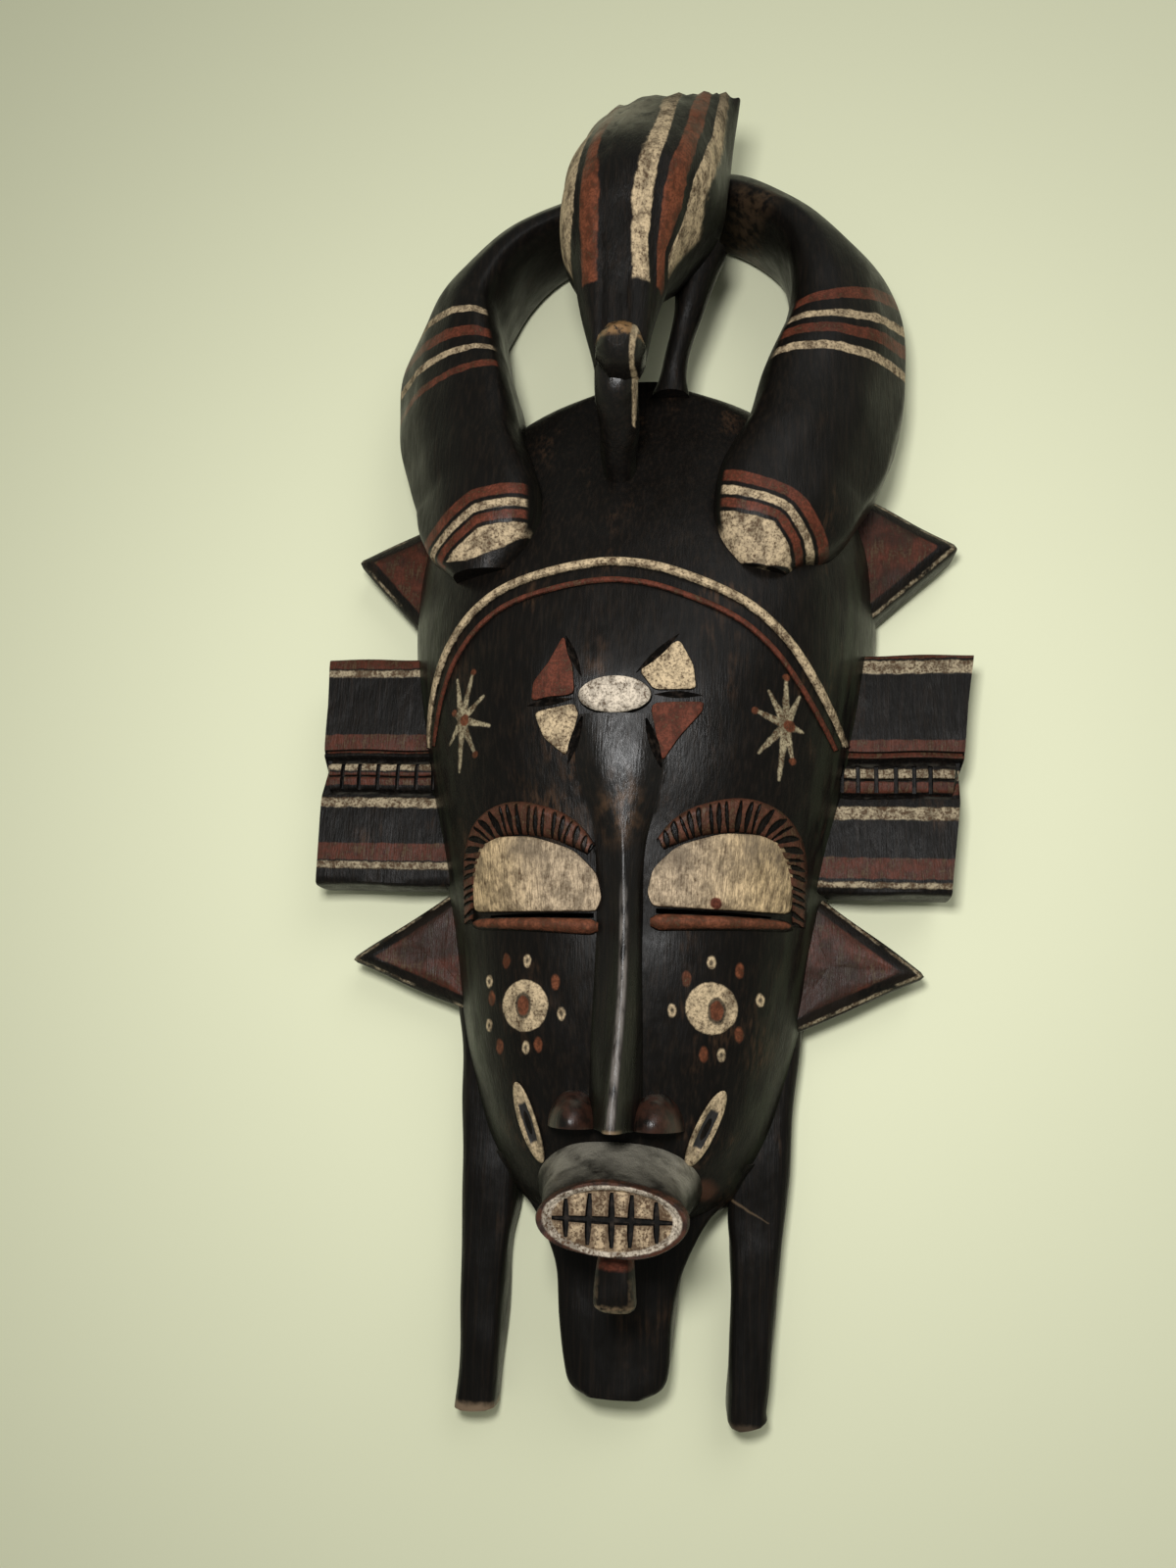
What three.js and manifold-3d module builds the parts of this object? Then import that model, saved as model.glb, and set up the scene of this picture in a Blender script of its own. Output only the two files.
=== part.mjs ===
// A carved wooden kpelie face mask: a long hollow face with ears, side points and legs, under two
// horns that close to a ring, with a hornbill that bows from the ring to the forehead. One solid.
// Millimetres. The mask lies on its back: X across the face, Y up the face, Z out of the face.
import * as THREE from 'three';
import Module from 'manifold-3d';

const wasm = await Module();
wasm.setup();

// A smooth curve of one value through [place, value] pairs, level beyond its ends
function through(pairs) {
  const at = pairs.map((p) => p[0]);
  const value = pairs.map((p) => p[1]);
  const last = at.length - 1;
  const slope = (i) => (value[i + 1] - value[i]) / (at[i + 1] - at[i]);
  const tangent = at.map((_, i) => {
    if (i === 0) return slope(0);
    if (i === last) return slope(last - 1);
    const before = at[i] - at[i - 1];
    const after = at[i + 1] - at[i];
    return (slope(i - 1) * after + slope(i) * before) / (before + after);
  });
  return (x) => {
    const place = Math.min(Math.max(x, at[0]), at[last]);
    let i = 0;
    while (i < last - 1 && place > at[i + 1]) i += 1;
    const run = at[i + 1] - at[i];
    const t = (place - at[i]) / run;
    return value[i] * (1 + 2 * t) * (1 - t) ** 2 + run * tangent[i] * t * (1 - t) ** 2
      + value[i + 1] * t * t * (3 - 2 * t) + run * tangent[i + 1] * t * t * (t - 1);
  };
}

// Driving sizes of the face and head, measured up the face (Y) from the middle of the mask
const chinY = -156;
const crownY = 120;
const headHalfWidth = through([[chinY, 18], [-149, 31], [-134, 42], [-110, 51], [-65, 60],
  [-10, 72], [40, 79], [66, 77], [90, 67], [104, 55], [113, 38], [crownY, 14]]);
const headHeight = through([[chinY, 22], [-149, 30], [-134, 40], [-110, 46], [-89, 50], [-65, 52],
  [-40, 55], [-15, 60], [5, 63], [25, 63], [45, 60], [65, 54], [85, 45], [105, 35], [crownY, 29]]);
const headRoundness = 2.4;
const crownRoundness = 4;
const crownStartY = 80;
const wall = 11;
const hollowFootY = -126;
const hollowTopY = 100;

// Eyes, brows and the bars below the lids, as on the right; the pair sits a little off the middle
const eyeShiftX = 2;
const eyeShiftY = 0.9;
const lidOutline = [[8, -61.8], [18, -62], [28, -62], [38, -61.8], [48.2, -61.4], [48.8, -50], [46, -42],
  [39, -39.6], [28, -40], [15, -44.2], [8, -51], [6.4, -58]];
const lidRise = 2.6;
const browPlaces = [[10, -44], [15, -40], [20.3, -37.1], [26.5, -35.4], [32.5, -34.4], [38, -34.7],
  [43.5, -36.8], [47.4, -41.5], [49.8, -50], [50.5, -64.5]];
const browWidth = 10.6;
const browRise = 3;
const barNearX = 7.5;
const barFarX = 48.5;
const barNearY = -66.2;
const barFarY = -64.8;
const barNearWidth = 6;
const barFarWidth = 4;
const barRise = 3.4;
const slitY = -62.9;
const slitHeight = 1.5;
const slitNearX = 9;
const slitFarX = 42;

// Nose, muzzle, mouth, tongue
const noseTopY = -6;
const noseFootY = -123.5;
const noseTipZ = 66;
const noseFootX = 1.2;
const noseTopX = -1;
const nostrilX = 12;
const nostrilHalfWidth = 8;
const nostrilHeight = 10;
const nostrilRise = 13;
const mouthX = 2.6;
const mouthY = -145;
const mouthHalfWidth = 20.5;
const mouthHalfHeight = 9.8;
const mouthZ = 68;
const toothGap = 1.1;
const toothDepth = 1.6;
const teethAcross = 6;
const tongueHalfWidth = 5.2;
const tongueFootY = -170;
const tongueFrontZ = 59;
const tongueThickness = 9;

// Forehead: two arched mouldings, an oval boss and four petals with chip cuts between them
const archWidth = 3.8;
const archRise = 1.8;
const archStep = (t) => 6.3 - 1.9 * (2 * t - 1) ** 2;
const bossX = -1.6;
const bossY = -0.6;
const bossHalfWidth = 11;
const bossHalfHeight = 5.6;
const bossRise = 3;
const petalRise = 1;
const cutWidth = 2;
const cutDepth = 1.6;

// Ears: thick plates with a rib of little squares across them
const earTopY = 24.5;
const earFootY = -53;
const rightEarTopX = 107;
const rightEarFootX = 98.5;
const leftEarTopX = 104.5;
const leftEarFootX = 103.5;
const earRootX = 40;
const earFrontZ = 23;
const earBackZ = 4;
const ribStartX = 66;
const ribY = -16.4;
const ribHalf = 5;
const ribSink = 1.6;
const ribNotch = 2.4;
const ribSquares = 6;
const grooveWidth = 1.6;
const grooveDepth = 1.5;

// Side points, legs and chin plate
const pointFrontZ = 18;
const pointBackZ = 4;
const pointBevel = 4;
const legFrontZ = 16;
const legBackZ = 1;
const leftLegFootY = -209;
const rightLegFootY = -208;
const chinPlateFootY = -201;
const chinPlateFrontZ = 22;
const chinPlateBackZ = 4;

// Horns: a ring that starts behind the bird and ends on the forehead
const hornBackZ = 2;
const leftHornBulk = through([[0, 0.94], [0.28, 0.87], [0.45, 0.88], [0.6, 0.94], [1, 0.94]]);
const birdNeckY = 97;
const birdTailY = 208;
const tailDrop = 6;
const tailStartY = 179;
const birdBeakX = -4;
const birdHeadX = -0.7;
const birdHeadY = 98;

const scarLength = 25;
const scarWidth = 4.6;
const scarRise = 1;

// Height of the head's outer surface over the back plane at a point of the face
function headZ(x, y, less = 0) {
  const half = headHalfWidth(y) - less;
  const top = headHeight(y) - less;
  const blend = Math.min(Math.max((y - crownStartY) / (crownY - crownStartY), 0), 1);
  const roundness = headRoundness + (crownRoundness - headRoundness) * blend;
  const share = Math.min(Math.abs(x) / half, 1);
  return top * Math.sqrt(1 - share ** roundness);
}

// A closed body from rings of [x, y, z] points with as many points each, closed by a fan at each end
function loft(rings) {
  const count = rings[0].length;
  const points = rings.flat();
  const triangles = [];
  for (let r = 0; r < rings.length - 1; r += 1) {
    for (let i = 0; i < count; i += 1) {
      const j = (i + 1) % count;
      const [a, b, c, d] = [r * count + i, r * count + j, (r + 1) * count + j, (r + 1) * count + i];
      triangles.push([a, b, c], [a, c, d]);
    }
  }
  [0, rings.length - 1].forEach((r) => {
    const ring = rings[r];
    const middle = [0, 1, 2].map((k) => ring.reduce((sum, p) => sum + p[k], 0) / count);
    const hub = points.push(middle) - 1;
    for (let i = 0; i < count; i += 1) {
      const j = (i + 1) % count;
      const fan = [r * count + i, r * count + j, hub];
      triangles.push(r === 0 ? [fan[1], fan[0], fan[2]] : fan);
    }
  });
  let volume = 0;
  triangles.forEach(([a, b, c]) => {
    const [p, q, s] = [points[a], points[b], points[c]];
    volume += p[0] * (q[1] * s[2] - q[2] * s[1]) - p[1] * (q[0] * s[2] - q[2] * s[0])
      + p[2] * (q[0] * s[1] - q[1] * s[0]);
  });
  const facing = volume > 0 ? triangles : triangles.map(([a, b, c]) => [a, c, b]);
  const mesh = new wasm.Mesh({
    numProp: 3,
    vertProperties: new Float32Array(points.flat()),
    triVerts: new Uint32Array(facing.flat()),
  });
  return new wasm.Manifold(mesh);
}

const steps = (count, make) => Array.from({ length: count + 1 }, (_, i) => make(i / count));
const around = (count, make) => Array.from({ length: count }, (_, i) => {
  return make(Math.cos(2 * Math.PI * i / count), Math.sin(2 * Math.PI * i / count));
});
const between = (a, b, t) => a + (b - a) * t;
const mirrored = (rings) => rings.map((ring) => ring.map(([x, y, z]) => [-x, y, z]));
const bothSides = (rings) => [loft(rings), loft(mirrored(rings))];

// Points along a smooth open curve through a few [x, y] places
function alongCurve(places, count) {
  const curve = new THREE.SplineCurve(places.map(([x, y]) => new THREE.Vector2(x, y)));
  return curve.getSpacedPoints(count).map((p, i) => {
    const turn = curve.getTangentAt(i / count);
    return { x: p.x, y: p.y, normalX: -turn.y, normalY: turn.x, t: i / count };
  });
}

// Head: an arched section at each height, wide at the temples and narrow at the chin
function headBody() {
  const across = 21;
  return loft(steps(27, (t) => {
    const y = between(chinY, crownY, t);
    const half = headHalfWidth(y);
    return steps(across, (s) => {
      const x = -half * Math.cos(Math.PI * s);
      return [x, y, headZ(x, y)];
    });
  }));
}

function hollow() {
  return loft(steps(13, (t) => {
    const y = between(hollowFootY, hollowTopY, t);
    const half = headHalfWidth(y) - wall;
    const ends = Math.sqrt(Math.sin(Math.PI * between(0.06, 0.94, t)));
    const arch = steps(11, (s) => {
      const x = -half * ends * Math.cos(Math.PI * s);
      return [x, y, headZ(x / ends, y, wall) * ends];
    });
    return [[half * ends, y, -wall], ...arch.reverse(), [-half * ends, y, -wall]];
  }));
}

// How deep raised carving is rooted in the head, in its middle and at its edges
const sink = 5;
const edgeSink = 1;

// A band laid along a curve of the face: a low flat-topped ridge of the given width and rise
function ridgeOnFace(line, width, rise) {
  return loft(line.map((p) => {
    const half = width(p.t) / 2;
    return [[-1, -edgeSink], [-0.62, rise(p.t)], [0.62, rise(p.t)], [1, -edgeSink],
      [0, -sink]].map(([side, lift]) => {
      const x = p.x + p.normalX * side * half;
      const y = p.y + p.normalY * side * half;
      return [x, y, headZ(x, y) + lift];
    });
  }));
}

// A raised pad on the face: an outline that shrinks to its middle as it rises
function padOnFace(outline, rise, share = [1.02, 0.94, 0.6]) {
  const count = outline.length;
  const middleX = outline.reduce((sum, p) => sum + p[0], 0) / count;
  const middleY = outline.reduce((sum, p) => sum + p[1], 0) / count;
  const lift = [-sink, rise * 0.75, rise];
  return loft(share.map((size, k) => outline.map(([px, py]) => {
    const x = between(middleX, px, size);
    const y = between(middleY, py, size);
    return [x, y, headZ(x, y) + lift[k]];
  })));
}

// A straight chip cut with a pointed floor between two places of the face
function chipCut([x0, y0], [x1, y1], width, depth) {
  const length = Math.hypot(x1 - x0, y1 - y0);
  const [nx, ny] = [-(y1 - y0) / length, (x1 - x0) / length];
  return loft(steps(3, (t) => {
    const half = width / 2 * Math.max(Math.sin(Math.PI * between(0.08, 0.92, t)), 0.2);
    const x = between(x0, x1, t);
    const y = between(y0, y1, t);
    const z = headZ(x, y);
    return [[x - nx * half, y - ny * half, z + 3], [x + nx * half, y + ny * half, z + 3],
      [x + nx * half, y + ny * half, z], [x, y, z - depth], [x - nx * half, y - ny * half, z]];
  }));
}

function block([x0, y0, z0], [x1, y1, z1]) {
  const ring = (z) => [[x0, y0, z], [x1, y0, z], [x1, y1, z], [x0, y1, z]];
  return loft([ring(z0), ring(z1)]);
}

// The arch over the forehead, from temple to temple
const archPlaces = [[-68.5, -7], [-64.5, 6], [-58.5, 18.5], [-48, 29.5], [-34, 36.8], [-10, 41.5], [5, 41],
  [18, 37.2], [36, 29.5], [48, 20], [57.5, 8], [67.5, -7]];

function forehead() {
  const outer = alongCurve(archPlaces, 18);
  const inner = outer.map((p) => ({
    ...p,
    x: p.x - p.normalX * archStep(p.t) * Math.sign(p.normalY),
    y: p.y - p.normalY * archStep(p.t) * Math.sign(p.normalY),
  }));
  const boss = around(14, (across, up) => [bossX + bossHalfWidth * across, bossY + bossHalfHeight * up]);
  const petals = [
    [[-17, 18], [-22.5, 9.5], [-28, 1], [-15, -0.5], [-12.5, 6.5]],
    [[17, 17], [21, 9], [22.5, 1.5], [11, 1.5], [5, 6.5]],
    [[-27, -5], [-22.5, -12.5], [-16, -18.5], [-11, -7.5], [-14.5, -3]],
    [[24, -2.5], [18, -11], [12, -20], [8, -7.5], [11, -2.5]],
  ];
  return [
    ridgeOnFace(outer, () => archWidth, () => archRise),
    ridgeOnFace(inner, () => archWidth * 0.7, () => archRise * 0.8),
    padOnFace(boss, bossRise),
    ...petals.map((outline) => padOnFace(outline, petalRise, [1.02, 0.97, 0.7])),
  ];
}

function foreheadCuts() {
  const cuts = [[[-16.5, 19.5], [-10.5, 6]], [[-29, -2], [-13, -1]], [[-10, -7.5], [-16.5, -20.5]],
    [[4, 6.5], [16.5, 19]], [[11, -0.5], [25, -0.8]], [[8, -8], [12.5, -21.5]]];
  return cuts.map(([from, to]) => chipCut(from, to, cutWidth, cutDepth));
}

// Both eyes: the right one with the shift added, the left one mirrored from a copy with it taken off
function bothEyes(build) {
  const [right, left] = [1, -1].map((side) => build(side * eyeShiftX, side * eyeShiftY));
  return [...right, ...left.map((solid) => solid.mirror([1, 0, 0]))];
}

// Brow: a flat-topped ridge, narrow at its inner and outer end
function brow() {
  const width = through([[0, 4], [0.1, 7.5], [0.25, 9.6], [0.5, browWidth], [0.65, 9.5], [0.78, 6.8],
    [1, 4.4]]);
  return bothEyes((shiftX, shiftY) => {
    const places = browPlaces.map(([x, y]) => [x + shiftX, y + shiftY]);
    return [ridgeOnFace(alongCurve(places, 20), width, () => browRise)];
  });
}

function lid() {
  return bothEyes((shiftX, shiftY) => {
    const outline = lidOutline.map(([x, y]) => [x + shiftX, y + shiftY]);
    return [padOnFace(outline, lidRise, [1.01, 0.97, 0.6])];
  });
}

function lowerBar() {
  return bothEyes((shiftX, shiftY) => {
    const line = steps(8, (t) => {
      const x = between(barNearX, barFarX, t) + shiftX;
      return { x, y: between(barNearY, barFarY, t) + shiftY, normalX: 0, normalY: 1, t };
    });
    return [ridgeOnFace(line, (t) => between(barNearWidth, barFarWidth, t), () => barRise)];
  });
}

// Nose: a narrow ridge from the boss to the tip, with a lobe on each side of its foot
function nose() {
  const ridgeX = through([[noseFootY, noseFootX], [-80, 2.6], [-45, 1.6], [noseTopY, noseTopX]]);
  const ridgeZ = through([[noseFootY, noseTipZ], [-118, noseTipZ - 0.6], [-100, 62], [-75, 58.5],
    [-50, 58.5], [-35, 60], [-20, 62.6], [noseTopY, 64]]);
  const half = through([[noseFootY, 8.4], [-100, 8.2], [-66, 7.6], [-42, 8.4], [-25, 12], [noseTopY, 15]]);
  const flat = through([[noseFootY, 1.7], [-60, 1.3], [-40, 1.5], [-25, 4], [noseTopY, 7.5]]);
  const ridge = loft(steps(15, (t) => {
    const y = between(noseFootY, noseTopY, t);
    const [x, top, wide, level] = [ridgeX(y), ridgeZ(y), half(y), flat(y)];
    const side = (s) => [[s * wide, y, 20], [s * wide, y, headZ(wide, y) - 0.3],
      [x + s * (wide * 0.45 + level * 0.4), y, between(headZ(wide, y), top, 0.55)],
      [x + s * level, y, top - 0.5]];
    return [...side(-1), [x, y, top], ...side(1).reverse()];
  }));
  const lobes = bothSides(steps(6, (t) => {
    const y = noseFootY + nostrilHeight * t;
    const size = Math.sqrt(1 - t * t * 0.93);
    return steps(8, (s) => {
      const turn = Math.PI * s;
      const x = nostrilX + nostrilHalfWidth * size * Math.cos(turn);
      return [x, y, headZ(x, y) - 3 + (nostrilRise + 3) * size * Math.sin(turn)];
    });
  }));
  return [ridge, ...lobes];
}

// Muzzle: an oval spout that leans down, with a lip round a flat mouth
function muzzle() {
  const ring = (x, y, halfX, halfY, z) => around(20, (across, up) => [x + halfX * across, y + halfY * up, z]);
  return loft([
    ring(0, mouthY + 6, 26, 16, 20),
    ring(0.6, mouthY + 5, 23, 14.5, 38),
    ring(1.5, mouthY + 2.5, mouthHalfWidth * 0.99, mouthHalfHeight + 2.2, 50),
    ring(2.2, mouthY + 0.8, mouthHalfWidth * 0.96, mouthHalfHeight + 0.1, mouthZ - 6),
    ring(mouthX, mouthY, mouthHalfWidth, mouthHalfHeight, mouthZ - 3),
    ring(mouthX, mouthY, mouthHalfWidth * 0.97, mouthHalfHeight * 0.95, mouthZ),
    ring(mouthX, mouthY, mouthHalfWidth * 0.88, mouthHalfHeight * 0.8, mouthZ),
    ring(mouthX, mouthY, mouthHalfWidth * 0.84, mouthHalfHeight * 0.74, mouthZ - 1.2),
  ]);
}

function toothCuts() {
  const [foot, top] = [mouthZ - 1.2 - toothDepth, mouthZ + 2];
  const reachX = mouthHalfWidth * 0.84;
  const reachY = mouthHalfHeight * 0.74;
  const upright = steps(teethAcross - 2, (t) => {
    const offset = between(-0.62, 0.62, t);
    const half = reachY * Math.sqrt(1 - offset * offset) * 0.94;
    const x = mouthX + offset * reachX;
    return block([x - toothGap / 2, mouthY - half, foot], [x + toothGap / 2, mouthY + half, top]);
  });
  return [...upright, block([mouthX - reachX * 0.9, mouthY - toothGap / 2, foot],
    [mouthX + reachX * 0.9, mouthY + toothGap / 2, top])];
}

function tongue() {
  const ring = (y, half, front) => [[mouthX - half, y, front], [mouthX + half, y, front],
    [mouthX + half, y, front - tongueThickness], [mouthX - half, y, front - tongueThickness]];
  return loft([ring(mouthY - 4, tongueHalfWidth, tongueFrontZ), ring(-158, tongueHalfWidth, tongueFrontZ),
    ring(tongueFootY + 4, tongueHalfWidth * 0.92, tongueFrontZ - 1.5),
    ring(tongueFootY, tongueHalfWidth * 0.6, tongueFrontZ - 2.5)]);
}

// A raised leaf on each cheek, beside the nose
function scar() {
  const leaf = (x0, y0, x1, y1) => {
    const [dx, dy] = [(x1 - x0) / scarLength, (y1 - y0) / scarLength];
    return around(10, (end, side) => {
      const along = between(0, scarLength, (1 - end) / 2);
      const aside = scarWidth / 2 * side;
      return [x0 + dx * along - dy * aside, y0 + dy * along + dx * aside];
    });
  };
  return [padOnFace(leaf(-30.5, -112, -22, -135), scarRise), padOnFace(leaf(31, -112, 20.5, -134), scarRise)];
}

// Ear: one profile of lands, grooves and a sunk rib, carried out from the head
function ear(topX, footX) {
  const upper = ribY + ribHalf;
  const lower = ribY - ribHalf;
  const front = (y, drop = 0) => [y, earFrontZ - drop];
  const profile = [[earTopY, earBackZ], front(earTopY, 1.2), front(earTopY - 1.2),
    front(upper + grooveWidth + 2.6), front(upper + grooveWidth + 2, grooveDepth), front(upper + 2, 0.5),
    front(upper + 0.8, grooveDepth + ribSink), front(upper - 1, ribSink * 0.4), front(ribY, ribSink * 0.2),
    front(lower + 1, ribSink * 0.5), front(lower, grooveDepth + ribSink), front(lower - 1.6, 0.4),
    front(earFootY + 5), front(earFootY + 1.5, 3.5), [earFootY, earBackZ]];
  const rim = profile.map(([y, z]) => {
    const onRib = y < upper + 1 && y > lower - 0.5;
    return [between(footX, topX, (y - earFootY) / (earTopY - earFootY)) - (onRib ? ribNotch : 0), y, z];
  });
  const rings = [profile.map(([y, z]) => [earRootX, y, z]), rim];
  const gap = (footX - ribStartX) / ribSquares;
  const cuts = steps(ribSquares - 1, (t) => {
    const x = ribStartX + gap * t * (ribSquares - 1);
    return block([x - 0.6, lower + 0.8, earFrontZ - ribSink * 1.6], [x + 0.6, upper - 0.8, earFrontZ + 2]);
  });
  return cuts.reduce((solid, cut) => solid.subtract(cut), loft(rings));
}

// Side points: triangles with bevelled edges that stand out from the head
function sidePoint(tip, high, low) {
  const middle = [(tip[0] + high[0] + low[0]) / 3, (tip[1] + high[1] + low[1]) / 3];
  const ring = (inset, z) => [tip, high, low].map(([x, y]) => {
    const away = Math.hypot(x - middle[0], y - middle[1]);
    const share = 1 - inset * 1.7 / away;
    return [between(middle[0], x, share), between(middle[1], y, share), z];
  });
  return loft([ring(0, pointBackZ), ring(0, pointFrontZ - 5), ring(pointBevel * 0.25, pointFrontZ - 2),
    ring(pointBevel, pointFrontZ), ring(pointBevel * 1.3, pointFrontZ - 0.6)]);
}

// A flat-backed bar down the face with rounded front edges: its middle and half width at each height
function barDown(rows, back, front) {
  return loft(rows.map(([y, x, half, slant = 0]) => [[-1, back], [-1, front - 3], [-0.75, front - 0.8],
    [0, front], [0.75, front - 0.8], [1, front - 3], [1, back]].map(([side, z]) => {
    return [x + side * half, y + side * slant, z];
  })));
}

function legsAndChin() {
  const leftLeg = [[-88, -47, 9], [-110, -44, 9], [-145, -42.3, 8.9], [-161, -42.8, 7.6], [-175, -42.8, 6.9],
    [-192, -42.8, 6.2], [leftLegFootY + 1.5, -43.6, 6.3], [leftLegFootY, -43.6, 5.2]];
  const rightLeg = [[-88, 45, 9], [-110, 43, 9.3], [-145, 40.5, 8.9], [-159, 40.2, 7.7], [-175, 39.6, 6.8],
    [-194, 38.4, 6.2], [rightLegFootY + 3, 37.6, 5.8, 1], [rightLegFootY, 38.6, 4, 1]];
  const chin = [[-134, 0, 40], [-144, 0, 32.5], [-151, -0.4, 26.5], [-158, -0.6, 22.5], [-167, -0.6, 18.9],
    [-180, -0.7, 17], [-192, -0.6, 15.8], [chinPlateFootY + 3, -0.6, 14], [chinPlateFootY, -0.6, 9]];
  return [barDown(leftLeg, legBackZ, legFrontZ), barDown(rightLeg, legBackZ, legFrontZ),
    barDown(chin, chinPlateBackZ, chinPlateFrontZ)];
}

// Horn: a D-shaped section carried round the ring, high along its inner ridge
const rightHornPath = [[0, 191], [20, 193], [31, 191.5], [43, 184.5], [54.5, 174], [62.5, 161], [67, 147],
  [68, 133], [65.5, 118], [58.5, 90], [52, 75], [45, 60], [41.5, 50], [40.5, 41.5]];
const leftHornPath = [[0, 188], [-18, 188.6], [-31, 185.2], [-40.8, 179.2], [-50.6, 169.8], [-58, 159.6],
  [-64.3, 147.5], [-66, 132.5], [-65, 117], [-58.5, 90], [-52.5, 75], [-47, 60], [-44.5, 51], [-43.5, 42]];

function horns() {
  const halfWidth = through([[0, 8.5], [0.16, 8.8], [0.3, 11.3], [0.45, 17.8], [0.52, 20.6], [0.6, 22.6],
    [0.8, 22.5], [0.9, 21], [0.95, 17], [1, 8]]);
  const ridgeZ = through([[0, 34], [0.12, 36], [0.35, 44], [0.58, 51], [0.8, 60], [0.9, 63.5], [1, 57.5]]);
  const outerZ = through([[0, 26], [0.12, 25], [0.35, 26], [0.58, 29], [0.8, 42], [0.9, 50], [1, 54]]);
  const backZ = through([[0, hornBackZ], [0.62, hornBackZ], [0.76, 16], [0.9, 34], [1, 42]]);
  const horn = (path, side, bulk) => loft(alongCurve(path, 20).map((p) => {
    const [half, high, out] = [halfWidth(p.t) * bulk(p.t), ridgeZ(p.t), outerZ(p.t)];
    const back = Math.max(backZ(p.t), hornBackZ);
    const section = [[1, back], [1, out - 3], [0.9, out], [0.45, between(out, high, 0.5) + 2],
      [-0.15, between(out, high, 0.88) + 1.6], [-0.62, high], [-0.86, high - 2.5], [-1, high - 9],
      [-1, back + 13], [-0.7, back]];
    return section.map(([across, z]) => {
      const aside = half * across * side;
      return [p.x + p.normalX * aside, p.y + p.normalY * aside, z];
    });
  }));
  return [horn(rightHornPath, 1, () => 1), horn(leftHornPath, -1, leftHornBulk)];
}

// Hornbill: a humped body with its tail at the top, a bent neck, and a beak that rests on the crown
function bird() {
  const bodyX = through([[birdNeckY, -2.3], [121, -2.4], [144, -2], [157, 1.3], [178, 3.4],
    [birdTailY, 8.6]]);
  const bodyHalf = through([[birdNeckY, 7.4], [104, 9], [121, 12.8], [128, 14.6], [142, 20], [157, 24.6],
    [170, 25.8], [185, 25], [196, 24.6], [birdTailY, 24]]);
  const bodyFront = through([[birdNeckY, 80], [104, 82], [121, 84.5], [142, 90], [156, 91.8], [167, 88],
    [178, 81], [190, 73], [200, 65], [birdTailY, 58]]);
  const bodyBack = through([[birdNeckY, 70], [112, 66], [126, 60], [140, 42], [155, 27], [170, 22], [188, 26],
    [198, 36], [birdTailY, 46]]);
  const body = loft(steps(18, (t) => {
    const y = between(birdNeckY, birdTailY, t);
    const [x, half, front, back] = [bodyX(y), bodyHalf(y), bodyFront(y), bodyBack(y)];
    return around(14, (across, out) => {
      const wide = Math.sign(across) * Math.abs(across) ** 0.75;
      const deep = Math.sign(out) * Math.abs(out) ** 0.85;
      const tail = Math.max(0, y - tailStartY) / (birdTailY - tailStartY);
      const lower = tailDrop * Math.max(0, -across) ** 2 * tail;
      return [x + half * wide, y - lower, (front + back) / 2 + (front - back) / 2 * deep];
    });
  }));
  const spine = [[104, 74, -2.3, 7.4, 7], [95, 74, -2.9, 6.9, 7], [90, 69, -3, 6.6, 6.6],
    [85, 61.5, -3.2, 6.2, 6.4], [80.5, 54, -3.8, 5.2, 6.2], [76.5, 47, birdBeakX, 4.2, 6]];
  const beak = loft(spine.map(([y, z, x, half, deep], i) => {
    const [ahead, behind] = [spine[Math.min(i + 1, spine.length - 1)], spine[Math.max(i - 1, 0)]];
    const run = Math.hypot(ahead[0] - behind[0], ahead[1] - behind[1]);
    const [upY, upZ] = [-(ahead[1] - behind[1]) / run, (ahead[0] - behind[0]) / run];
    return around(10, (across, out) => [x + half * across, y - upY * out * deep, z - upZ * out * deep]);
  }));
  const head = loft([[74, 6], [84, 6.9], [88.5, 5.6], [91.3, 2.6]].map(([z, radius]) => {
    return around(9, (across, up) => [birdHeadX + radius * across, birdHeadY + radius * up, z]);
  }));
  const leg = (rows) => loft(rows.map(([y, z, x, half]) => {
    return around(8, (across, out) => [x + half * across, y, z + (half + 1) * out]);
  }));
  const rightLeg = leg([[158, 42, 20, 8.5], [146, 40, 17.6, 6], [132, 38, 14.2, 4.2], [119, 34, 11.2, 4.4],
    [112, 30, 9.5, 7]]);
  const leftLeg = leg([[158, 42, -15, 8], [146, 40, -13.4, 5], [132, 38, -11.6, 4], [119, 34, -10.6, 4],
    [112, 30, -9, 6.5]]);
  return [body, beak, head, rightLeg, leftLeg];
}

function slits() {
  const [half, deep, proud] = [slitHeight / 2, 26, 8];
  return bothEyes((shiftX, shiftY) => {
    return [loft(steps(3, (t) => {
      const x = between(slitNearX, slitFarX, t) + shiftX;
      const [low, high, z] = [slitY + shiftY - half, slitY + shiftY + half, headZ(x, slitY)];
      return [[x, low, z - deep], [x, high, z - deep], [x, high, z + proud], [x, low, z + proud]];
    }))];
  });
}

const sidePoints = [
  sidePoint([105.5, 63.5], [66, 88], [66, 29]),
  sidePoint([-101, 63], [-66, 79], [-66, 25]),
  sidePoint([92, -76.5], [52, -47], [44, -99]),
  sidePoint([-92.5, -76.5], [-52, -49], [-44, -95]),
];
const ears = [
  ear(rightEarTopX, rightEarFootX),
  ear(leftEarTopX, leftEarFootX).mirror([1, 0, 0]),
];
const whole = [headBody(), ...forehead(), ...brow(), ...lid(), ...lowerBar(), ...nose(), muzzle(), tongue(),
  ...scar(), ...ears, ...sidePoints, ...legsAndChin(), ...horns(), ...bird()]
  .reduce((solid, piece) => solid.add(piece));
const carved = [hollow(), ...slits(), ...foreheadCuts(), ...toothCuts()]
  .reduce((solid, cut) => solid.subtract(cut), whole);

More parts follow.
